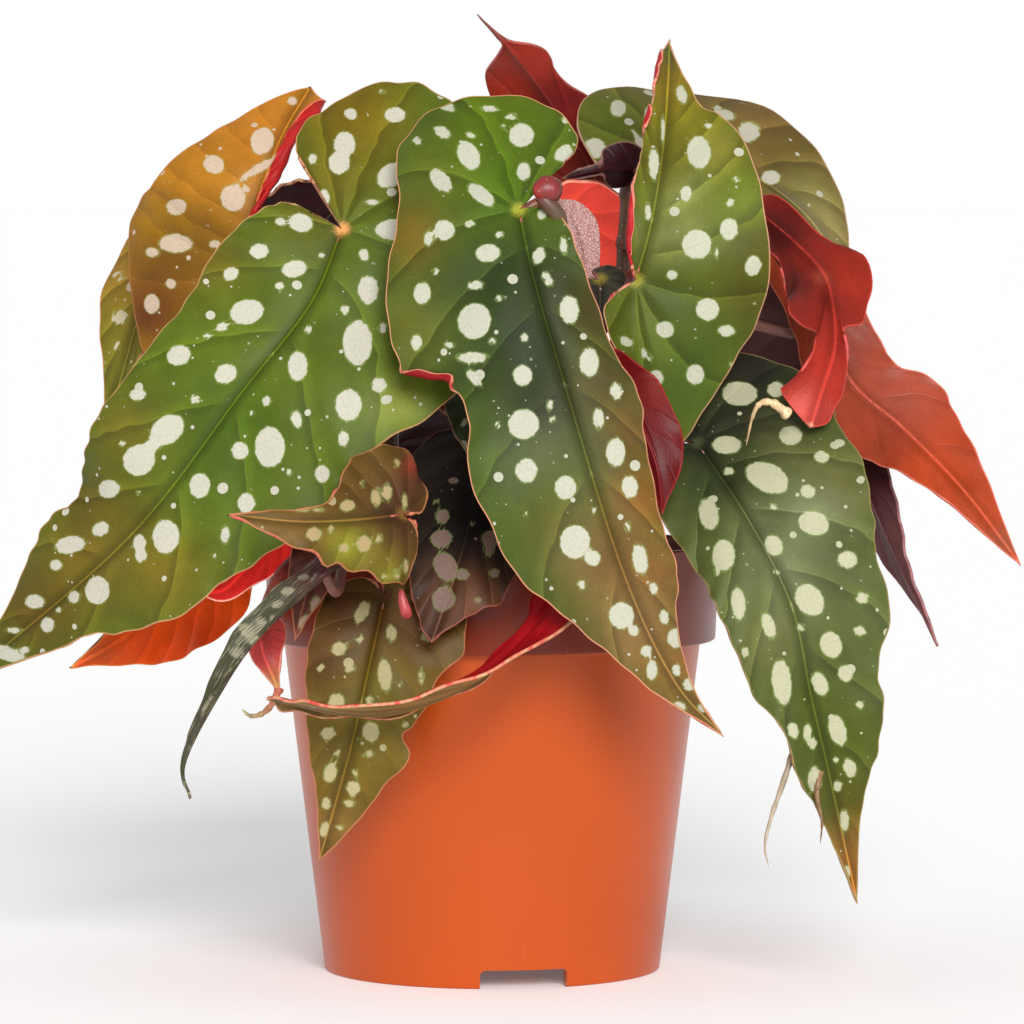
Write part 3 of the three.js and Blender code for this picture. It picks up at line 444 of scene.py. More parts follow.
# leaves: midrib from the petiole to the tip, direction the upper face looks at the base and at the tip,
# hand of the wide half, scales of the two halves and of the lobes behind the petiole, own outlines if any,
# fold of both halves and curl of each in degrees, ripple height, waves and phase, cane and node it grows
# from; the plain leaf has what many of them share
plainLeaf = {"hand": 1, "wide": 1, "narrow": 1, "lobe": 1, "fold": 5}
ownLeaves = {
    "leaf_front_left": {
        "midrib": [[-38, -58, 197], [-46, -66, 178], [-63, -72, 156], [-92, -66, 119], [-138, -32, 79]],
        "face": [[0, -1, 0.35], [-0.4, -1, 0.3]], "hand": -1, "wide": 1.06, "narrow": 1.05, "lobe": 1.15,
        "wideHalf": [
            [0, 0], [-0.04, -0.04], [-0.07, -0.09], [-0.12, -0.12], [-0.18, -0.1], [-0.23, -0.05],
            [-0.25, 0.02], [-0.22, 0.11], [-0.14, 0.19], [-0.02, 0.24], [0.1, 0.25], [0.2, 0.225],
            [0.29, 0.19], [0.36, 0.21], [0.45, 0.18], [0.51, 0.155], [0.57, 0.15], [0.65, 0.115],
            [0.72, 0.08], [0.79, 0.06], [0.88, 0.035], [1, 0],
        ],
        "narrowHalf": [
            [0, 0], [-0.005, 0.045], [-0.01, 0.09], [0.02, 0.13], [0.1, 0.16], [0.23, 0.16], [0.35, 0.155],
            [0.46, 0.16], [0.56, 0.145], [0.63, 0.11], [0.7, 0.11], [0.78, 0.08], [0.88, 0.04], [1, 0],
        ],
        "curl": [-25, -20], "ripple": [1.2, 4, 0.1], "cane": "cane_left", "node": 5,
    },
    "leaf_front_center": {
        "midrib": [
            [7, -78, 202], [11, -88, 184], [18, -94, 160], [33, -95, 112], [46, -88, 84], [59, -78, 69],
        ],
        "face": [[0, -1, 0.3], [0.2, -1, 0.1]], "wide": 1.08, "narrow": 1.15, "lobe": 1.2,
        "wideHalf": [
            [0, 0], [-0.04, -0.04], [-0.08, -0.09], [-0.12, -0.115], [-0.18, -0.08], [-0.2, 0.0],
            [-0.21, 0.09], [-0.16, 0.165], [-0.06, 0.175], [0.04, 0.215], [0.15, 0.24], [0.22, 0.22],
            [0.26, 0.165], [0.33, 0.155], [0.43, 0.18], [0.56, 0.165], [0.65, 0.12], [0.73, 0.08],
            [0.82, 0.045], [0.9, 0.018], [1, 0],
        ],
        "narrowHalf": [
            [0, 0], [0, 0.03], [0.02, 0.058], [0.12, 0.074], [0.26, 0.082], [0.36, 0.1], [0.46, 0.09],
            [0.58, 0.08], [0.69, 0.07], [0.79, 0.04], [0.9, 0.015], [1, 0],
        ],
        "fold": 4, "curl": [-40, -45], "ripple": [1.2, 4, 0.4], "cane": "cane_middle", "node": 6,
    },
    "leaf_right_upright": {
        "midrib": [[37, -56, 184], [41, -55, 199], [44, -44, 216], [46, -24, 235], [47, 0, 247]],
        "face": [[0.1, -1, 0.1], [0, -0.6, 1]], "wide": 1.05,
        "wideHalf": [
            [0, 0], [-0.03, -0.03], [-0.07, -0.055], [-0.12, -0.06], [-0.18, -0.02], [-0.26, 0.05],
            [-0.35, 0.1], [-0.42, 0.16], [-0.435, 0.21], [-0.4, 0.241], [-0.316, 0.269], [-0.227, 0.301],
            [-0.126, 0.324], [-0.03, 0.352], [0.1, 0.348], [0.22, 0.315], [0.35, 0.273], [0.45, 0.228],
            [0.52, 0.196], [0.58, 0.14], [0.61, 0.096], [0.66, 0.072], [0.74, 0.041], [0.82, 0.024],
            [0.9, 0.012], [1, 0],
        ],
        "narrowHalf": [
            [0, 0], [0.04, 0.025], [0.1, 0.05], [0.2, 0.066], [0.3, 0.066], [0.4, 0.06], [0.5, 0.056],
            [0.56, 0.045], [0.67, 0.036], [0.78, 0.032], [0.88, 0.02], [1, 0],
        ],
        "rough": 0.5, "fold": 6, "curl": [-20, -30], "droop": 0.5, "ripple": [1, 3, 0.3],
        "cane": "cane_right", "node": 4,
    },
    "leaf_upper_left": {
        "midrib": [[-66, -24, 188], [-62, -26, 202], [-55.5, -18, 220], [-48, -2, 234.5]],
        "face": [[-0.2, -1, 0.2], [0, -0.8, 0.9]], "hand": -1, "wide": 1.17,
        "wideHalf": [
            [0, 0], [-0.1, -0.02], [-0.3, 0.06], [-0.5, 0.18], [-0.54, 0.3], [-0.38, 0.38], [-0.2, 0.46],
            [-0.04, 0.54], [0.08, 0.52], [0.25, 0.46], [0.42, 0.39], [0.56, 0.3], [0.7, 0.2], [0.85, 0.1],
            [1, 0],
        ],
        "narrowHalf": [
            [0, 0], [-0.02, 0.04], [0.1, 0.03], [0.2, 0.02], [0.3, 0.035], [0.42, 0.055], [0.55, 0.07],
            [0.68, 0.08], [0.8, 0.1], [0.9, 0.07], [1, 0],
        ],
        "rough": 0.5, "fold": 8, "curl": [-25, 10], "droop": 0.4, "ripple": [1.2, 3, 0.2],
        "cane": "cane_left", "node": 4,
    },
    "leaf_far_left": {
        "midrib": [[-82, 10, 196], [-92, 8, 180], [-98, 6, 160], [-104, 4, 140]],
        "face": [[-0.5, -1, 0.4], [-0.8, -1, 0.2]], "wide": 0.8, "narrow": 0.7, "lobe": 0.8, "fold": 6,
        "curl": [-30, -20], "ripple": [1, 3, 0.1], "cane": "cane_left", "node": 3,
    },
    "leaf_top_red": {
        "midrib": [[30, 44, 208], [20, 38, 225], [11, 28, 238], [3, 14, 247], [-4, 4, 254]],
        "face": [[0, 0.8, 1], [0, 1, 0.7]], "lobe": 0.8,
        "wideHalf": [
            [0, 0], [-0.05, -0.03], [-0.13, -0.02], [-0.19, 0.08], [-0.15, 0.15], [-0.02, 0.2], [0.2, 0.23],
            [0.4, 0.235], [0.5, 0.22], [0.59, 0.18], [0.66, 0.12], [0.73, 0.06], [0.79, 0.015],
            [0.86, 0.008], [1, 0],
        ],
        "narrowHalf": [
            [0, 0], [0, 0.06], [0.08, 0.14], [0.25, 0.17], [0.35, 0.13], [0.44, 0.09], [0.52, 0.08],
            [0.58, 0.092], [0.64, 0.09], [0.72, 0.06], [0.78, 0.025], [0.84, 0.01], [1, 0],
        ],
        "rough": 0.1, "veins": 3, "fold": 10, "curl": [14, 30], "ripple": [0.6, 2, 0.1],
        "cane": "cane_back", "node": 5,
    },
    "leaf_top_back": {
        "midrib": [[50, 22, 216], [68, 27, 212], [85, 27, 200], [97, 22, 181]],
        "face": [[0, -1, 0.75], [0.4, -1, 0.5]], "hand": -1, "wide": 1.38, "narrow": 0.9, "lobe": 1.5,
        "fold": 4, "curl": [-25, -20], "droop": 0.5, "ripple": [1.2, 3, 0.2], "cane": "cane_right",
        "node": 5,
    },
    "leaf_right_curl": {
        "midrib": [
            [67.8, -16, 203.2], [79.2, -26, 193.3], [86.2, -36, 185], [88.2, -46, 175], [87.9, -52, 166],
            [84.5, -58, 156], [81.2, -62, 146.4],
        ],
        "face": [[0, 1, -0.2], [-0.1, 1, 0]], "wide": 0.87, "narrow": 0.94,
        "wideHalf": [
            [0, 0], [-0.01, 0.05], [0.03, 0.09], [0.11, 0.1], [0.22, 0.093], [0.3, 0.11], [0.365, 0.132],
            [0.385, 0.175], [0.46, 0.168], [0.52, 0.135], [0.6, 0.107], [0.63, 0.046], [0.66, 0.032],
            [0.72, 0.057], [0.775, 0.07], [0.85, 0.08], [0.9, 0.068], [0.96, 0.06], [1, 0],
        ],
        "narrowHalf": [
            [0, 0], [0.02, 0.06], [0.1, 0.09], [0.226, 0.09], [0.33, 0.143], [0.405, 0.143], [0.475, 0.15],
            [0.54, 0.153], [0.59, 0.11], [0.64, 0.057], [0.69, 0.068], [0.78, 0.078], [0.84, 0.093],
            [0.885, 0.12], [0.91, 0.132], [0.95, 0.085], [1, 0],
        ],
        "rough": 0.15, "fold": 10, "curl": [20, 20], "ripple": [1.2, 4, 0.1], "cane": "cane_right",
        "node": 7,
    },
    "leaf_right_long": {
        "midrib": [
            [74, 12, 198], [87, 6, 177], [95, 0, 157], [109, -8, 144], [124, -18, 128], [138, -30, 109],
        ],
        "face": [[0, 1, 0.2], [-0.2, 1, -0.2]], "wide": 1.05, "narrow": 1.05, "lobe": 0.8,
        "wideHalf": [
            [0, 0], [-0.02, 0.01], [-0.02, 0.025], [0.01, 0.035], [0.07, 0.04], [0.16, 0.055],
            [0.26, 0.085], [0.36, 0.1], [0.46, 0.1], [0.53, 0.12], [0.6, 0.115], [0.68, 0.09], [0.78, 0.06],
            [0.9, 0.025], [1, 0],
        ],
        "narrowHalf": [
            [0, 0], [-0.02, 0.03], [-0.02, 0.055], [0.05, 0.07], [0.2, 0.07], [0.32, 0.08], [0.42, 0.1],
            [0.52, 0.1], [0.62, 0.08], [0.74, 0.05], [0.85, 0.03], [1, 0],
        ],
        "fold": 6, "curl": [20, 20], "ripple": [1, 3, 0.2], "cane": "cane_right", "node": 6,
    },
    "leaf_right_hanging": {
        "midrib": [
            [53, -52, 142], [65, -70, 124], [76, -78, 102], [81, -78, 79], [86, -74, 58], [94, -60, 24],
        ],
        "face": [[0.1, -1, 0.3], [0.2, -1, 0.1]], "hand": -1, "wide": 1.05, "narrow": 1.05, "lobe": 1.1,
        "wideHalf": [
            [0, 0], [-0.05, -0.04], [-0.12, -0.04], [-0.18, 0.02], [-0.19, 0.1], [-0.15, 0.18],
            [-0.07, 0.235], [0.02, 0.25], [0.1, 0.24], [0.2, 0.23], [0.3, 0.205], [0.36, 0.18],
            [0.44, 0.165], [0.54, 0.13], [0.62, 0.12], [0.7, 0.09], [0.77, 0.06], [0.85, 0.03], [1, 0],
        ],
        "narrowHalf": [
            [0, 0], [-0.02, 0.05], [-0.03, 0.09], [0.03, 0.125], [0.17, 0.135], [0.28, 0.12], [0.36, 0.128],
            [0.46, 0.12], [0.53, 0.1], [0.6, 0.07], [0.7, 0.06], [0.78, 0.035], [0.88, 0.018], [1, 0],
        ],
        "curl": [-20, -20], "ripple": [1.2, 4, 0.3], "cane": "cane_right", "node": 2,
    },
    "leaf_right_edge": {
        "midrib": [[82, 16, 171], [92, 12, 148], [104, 6, 119], [119, 0, 86]],
        "face": [[0.3, 1, 0.3], [1, 0.4, 0.4]], "hand": -1, "wide": 0.8, "narrow": 0.5, "lobe": 0.6,
        "fold": 10, "curl": [10, 10], "ripple": [1, 3, 0.2], "cane": "cane_right", "node": 4,
    },
    "leaf_center_red": {
        "midrib": [[28, -64, 165], [36, -71, 152], [42, -76, 138], [43.5, -77, 125]],
        "face": [[0.3, 1, 0], [0.2, 1, 0]], "wide": 1.04, "lobe": 0.5,
        "wideHalf": [
            [0, 0], [-0.03, 0.05], [0.05, 0.105], [0.17, 0.15], [0.31, 0.178], [0.52, 0.178], [0.67, 0.158],
            [0.8, 0.1], [0.9, 0.04], [1, 0],
        ],
        "fold": 8, "curl": [20, 20], "ripple": [0.8, 2, 0.1], "cane": "cane_middle", "node": 3,
        "via": [[18, -46, 154], [23, -58, 169]],
    },
    "leaf_center_green": {
        "midrib": [[-6, -46, 156], [-3, -58, 146], [0, -64, 136], [2, -66, 124]],
        "face": [[0, -1, 0.3], [0, -1, 0]], "hand": -1, "wide": 0.7, "narrow": 0.9, "lobe": 0.5, "fold": 6,
        "curl": [-20, -20], "ripple": [0.8, 3, 0.1], "cane": "cane_middle", "node": 4,
    },
    "leaf_low_olive": {
        "midrib": [[-22, -91, 126], [-34, -98, 125], [-48, -105, 125], [-65, -108, 127]],
        "face": [[0, -1, 0.4], [0, -1, 0.5]], "wide": 1.05, "narrow": 1.05,
        "wideHalf": [
            [0, 0], [-0.1, 0], [-0.18, 0.1], [-0.2, 0.25], [-0.15, 0.38], [-0.03, 0.4], [0.1, 0.38],
            [0.2, 0.32], [0.28, 0.24], [0.37, 0.18], [0.45, 0.1], [0.6, 0.065], [0.75, 0.05], [0.88, 0.025],
            [1, 0],
        ],
        "narrowHalf": [
            [0, 0], [-0.06, 0.1], [-0.03, 0.25], [0.05, 0.36], [0.17, 0.36], [0.28, 0.28], [0.4, 0.21],
            [0.5, 0.22], [0.6, 0.17], [0.74, 0.1], [0.88, 0.04], [1, 0],
        ],
        "rough": 1.7, "fold": 6, "curl": [-20, -30], "ripple": [1, 3, 0.2], "cane": "cane_low", "node": 5,
        "via": [[-31, -64, 138]],
    },
    "leaf_low_dark": {
        "midrib": [[-4, -38, 144], [-5, -59, 126], [-9, -73, 110], [-15, -80, 93]],
        "face": [[0, -1, 0.6], [0, -1, 0.2]], "hand": -1, "lobe": 0.8,
        "wideHalf": [
            [0, 0], [-0.05, -0.02], [-0.12, 0.02], [-0.16, 0.12], [-0.1, 0.24], [0.05, 0.33], [0.25, 0.36],
            [0.45, 0.31], [0.6, 0.25], [0.7, 0.21], [0.76, 0.19], [0.82, 0.135], [0.89, 0.08], [0.95, 0.03],
            [1, 0],
        ],
        "narrowHalf": [
            [0, 0], [-0.03, 0.05], [0, 0.15], [0.1, 0.24], [0.3, 0.25], [0.5, 0.22], [0.7, 0.185],
            [0.84, 0.13], [0.92, 0.09], [0.97, 0.045], [1, 0],
        ],
        "fold": 6, "curl": [-25, -20], "ripple": [1, 2, 0.2], "cane": "cane_middle", "node": 2,
    },
    "leaf_over_rim": {
        "midrib": [[-27, -66, 104], [-31, -71, 86], [-36, -72, 64], [-44, -68, 36]],
        "face": [[0, -1, 0.4], [0, -1, 0]], "hand": -1,
        "wideHalf": [
            [0, 0], [-0.06, -0.02], [-0.12, 0.06], [-0.12, 0.2], [-0.03, 0.29], [0.1, 0.32], [0.18, 0.31],
            [0.25, 0.25], [0.35, 0.225], [0.44, 0.2], [0.49, 0.18], [0.55, 0.21], [0.63, 0.165],
            [0.72, 0.13], [0.8, 0.1], [0.9, 0.055], [1, 0],
        ],
        "narrowHalf": [
            [0, 0], [-0.05, 0.08], [0, 0.18], [0.1, 0.22], [0.2, 0.235], [0.3, 0.225], [0.42, 0.2],
            [0.56, 0.155], [0.7, 0.11], [0.8, 0.065], [0.9, 0.03], [1, 0],
        ],
        "curl": [-15, -15], "ripple": [0.8, 3, 0.2], "cane": "cane_low", "node": 1,
        "via": [[-29, -58, 123]],
    },
    "leaf_strap": {
        "midrib": [[22, -72, 112], [8, -83, 94], [-8, -90, 82], [-30, -94, 76], [-56, -90, 80]],
        "face": [[0.5, 0.2, 1], [0, 0.1, 1]], "lobe": 0.5,
        "wideHalf": [
            [0, 0], [0.01, 0.02], [0.12, 0.035], [0.35, 0.055], [0.65, 0.065], [0.9, 0.055], [0.98, 0.03],
            [1, 0],
        ],
        "narrowHalf": [
            [0, 0], [0, 0.05], [0.12, 0.1], [0.35, 0.12], [0.6, 0.1], [0.85, 0.07], [0.97, 0.035], [1, 0],
        ],
        "fold": 8, "curl": [10, 10], "ripple": [0.8, 2, 0.1], "cane": "cane_middle", "node": 1,
        "via": [[18, -42, 124], [21, -62, 122]],
    },
    "leaf_low_red": {
        "midrib": [[-72, -20, 114], [-82, -32, 103], [-95, -42, 92], [-109, -48, 84]],
        "face": [[0.1, 0.9, 0.5], [0, 1, 0.5]], "wide": 1.4, "narrow": 0.9, "lobe": 0.5, "fold": 8,
        "curl": [15, 15], "ripple": [0.8, 3, 0.2], "cane": "cane_left", "node": 1, "via": [[-50, -10, 126]],
    },
    "leaf_rim_red": {
        "midrib": [[-54, -42, 121], [-63, -50, 110], [-70, -54, 104], [-78, -56, 106]],
        "face": [[0, 1, 0.2], [0, 1, -0.3]], "wide": 0.7, "narrow": 0.7, "lobe": 0.6, "fold": 15,
        "curl": [40, 40], "ripple": [0.6, 2, 0.2], "cane": "cane_low", "node": 3, "via": [[-39, -40, 135]],
    },
    "leaf_dry": {
        "midrib": [[-40, -86, 112], [-58, -93, 96], [-69, -92, 80], [-77.5, -88, 63], [-76, -87, 54]],
        "face": [[-0.7, -0.6, 0.6], [-0.9, -0.4, 0]], "wide": 0.24, "narrow": 0.3, "lobe": 0.5, "fold": 35,
        "curl": [60, 60], "ripple": [0.6, 3, 0.1], "cane": "cane_low", "node": 2, "via": [[-36, -58, 124]],
    },
    "leaf_small_red": {
        "midrib": [[-59, -66, 96], [-58.2, -68, 90.2], [-56.4, -69, 85.6], [-53.9, -68, 79.5]],
        "face": [[0, 1, 0], [0, 1, 0]], "wide": 1.1, "narrow": 1.1, "lobe": 0.6, "fold": 8,
        "curl": [15, 15], "ripple": [0.6, 2, 0.1], "cane": "cane_left", "node": 0,
        "via": [[-40, -38, 119], [-46, -50, 115.5], [-54, -61, 109]],
    },
    "leaf_rim_brown": {
        "midrib": [[-41, -60, 118], [-45, -66, 110], [-48, -68, 101], [-50, -68, 92]],
        "face": [[0, -1, 0.4], [0, -1, 0.1]], "wide": 0.8, "lobe": 0.6, "fold": 6, "curl": [-20, -20],
        "ripple": [0.6, 2, 0.1], "cane": "cane_low", "node": 4,
    },
    "leaf_young": {
        "midrib": [[40, -12, 212], [32, -16, 213], [26, -18, 212], [18, -18, 210]],
        "face": [[0, 1, 0.4], [0, 1, 0]], "wide": 1.05, "narrow": 1.15,
        "wideHalf": [
            [0, 0], [-0.02, 0.1], [0.05, 0.2], [0.2, 0.25], [0.35, 0.24], [0.46, 0.17], [0.53, 0.07],
            [0.8, 0.05], [1, 0],
        ],
        "narrowHalf": [
            [0, 0], [-0.02, 0.1], [0.05, 0.2], [0.2, 0.25], [0.35, 0.24], [0.46, 0.17], [0.53, 0.07],
            [0.8, 0.05], [1, 0],
        ],
        "fold": 12, "curl": [20, 20], "ripple": [0.4, 2, 0.1], "cane": "cane_right", "node": 6,
    },
    "leaf_dark_middle": {
        "midrib": [[28, -40, 184], [28, -45, 178], [27, -48, 171], [25, -50, 164]],
        "face": [[0, -1, 0.5], [0, -1, 0.1]], "hand": -1, "wide": 0.9, "narrow": 1.2, "lobe": 0.8,
        "curl": [-20, -20], "ripple": [0.8, 2, 0.1], "cane": "cane_middle", "node": 5,
    },
    "stipule": {
        "midrib": [[24, -29, 181], [24, -31, 189], [22, -31, 197], [17, -28, 205]],
        "face": [[0.3, -1, 0], [0.2, -1, 0.3]],
        "wideHalf": [[0, 0], [0, 0.06], [0.1, 0.12], [0.4, 0.18], [0.65, 0.2], [0.85, 0.14], [1, 0]],
        "narrowHalf": [[0, 0], [0, 0.1], [0.1, 0.22], [0.4, 0.3], [0.7, 0.28], [0.9, 0.18], [1, 0]],
        "fold": 10, "curl": [30, 30], "ripple": [0, 2, 0.1], "cane": "cane_middle", "node": 6,
    },
    "leaf_back_red": {
        "midrib": [[19, 36, 199], [15, 44, 187], [9, 50, 167], [4, 52, 140]],
        "face": [[0, 1, 0.5], [0, 1, 0.1]], "wide": 1.05, "narrow": 0.95, "lobe": 0.8, "fold": 6,
        "curl": [-20, -20], "ripple": [1, 3, 0.1], "cane": "cane_back", "node": 3,
    },
    "leaf_back_left": {
        "midrib": [[-40, 52, 206], [-54, 70, 190], [-72, 84, 156], [-90, 88, 112]],
        "face": [[-0.3, 1, 0.5], [-0.4, 1, 0.2]], "curl": [-30, -30], "ripple": [1.2, 4, 0.1],
        "cane": "cane_back", "node": 4,
    },
    "leaf_back_center": {
        "midrib": [[-2, 66, 182], [2, 86, 168], [8, 100, 134], [10, 106, 90]],
        "face": [[0, 1, 0.6], [0.1, 1, 0.1]], "hand": -1, "curl": [-30, -30], "ripple": [1.2, 4, 0.3],
        "cane": "cane_back", "node": 2,
    },
    "leaf_back_right": {
        "midrib": [[58, 50, 188], [72, 66, 174], [84, 80, 146], [92, 86, 106]],
        "face": [[0.4, 1, 0.6], [0.4, 1, 0.2]], "hand": -1, "lobe": 0.7, "curl": [-30, -30],
        "ripple": [1.2, 3, 0.2], "cane": "cane_right", "node": 2, "via": [[50, 22, 166]],
    },
    "leaf_side_left": {
        "midrib": [[-66, 34, 176], [-82, 44, 162], [-96, 50, 136], [-104, 50, 104]],
        "face": [[-1, 0.5, 0.6], [-1, 0.5, 0.2]], "wide": 0.9, "lobe": 0.8, "curl": [-25, -25],
        "ripple": [1, 3, 0.4], "cane": "cane_left", "node": 2,
    },
    "leaf_side_right": {
        "midrib": [[66, 26, 150], [78, 36, 138], [87, 42, 116], [91, 42, 88]],
        "face": [[1, 0.4, 0.6], [1, 0.6, 0.2]], "hand": -1, "wide": 0.9, "narrow": 0.9, "lobe": 0.7,
        "curl": [-25, -25], "ripple": [1, 3, 0.4], "cane": "cane_right", "node": 0,
    },
    "leaf_back_low": {
        "midrib": [[-30, 66, 136], [-38, 80, 120], [-42, 90, 96], [-40, 90, 66]],
        "face": [[-0.2, 1, 0.5], [-0.2, 1, 0.1]], "lobe": 0.9, "curl": [-25, -25], "ripple": [1, 3, 0.1],
        "cane": "cane_back", "node": 0,
    },
}
leaves = {name: {**plainLeaf, **own} for name, own in ownLeaves.items()}

# enlarged parts of the photo that spots were read off: left and top edge in the photo, and the enlargement
crops = {
    "topLeft": (0, 60, 2.3),
    "top": (380, 70, 2.5),
    "middle": (380, 400, 2.5),
    "right": (640, 360, 1.8),
    "rim": (180, 440, 2.3),
    "left": (0, 440, 3.0),
}

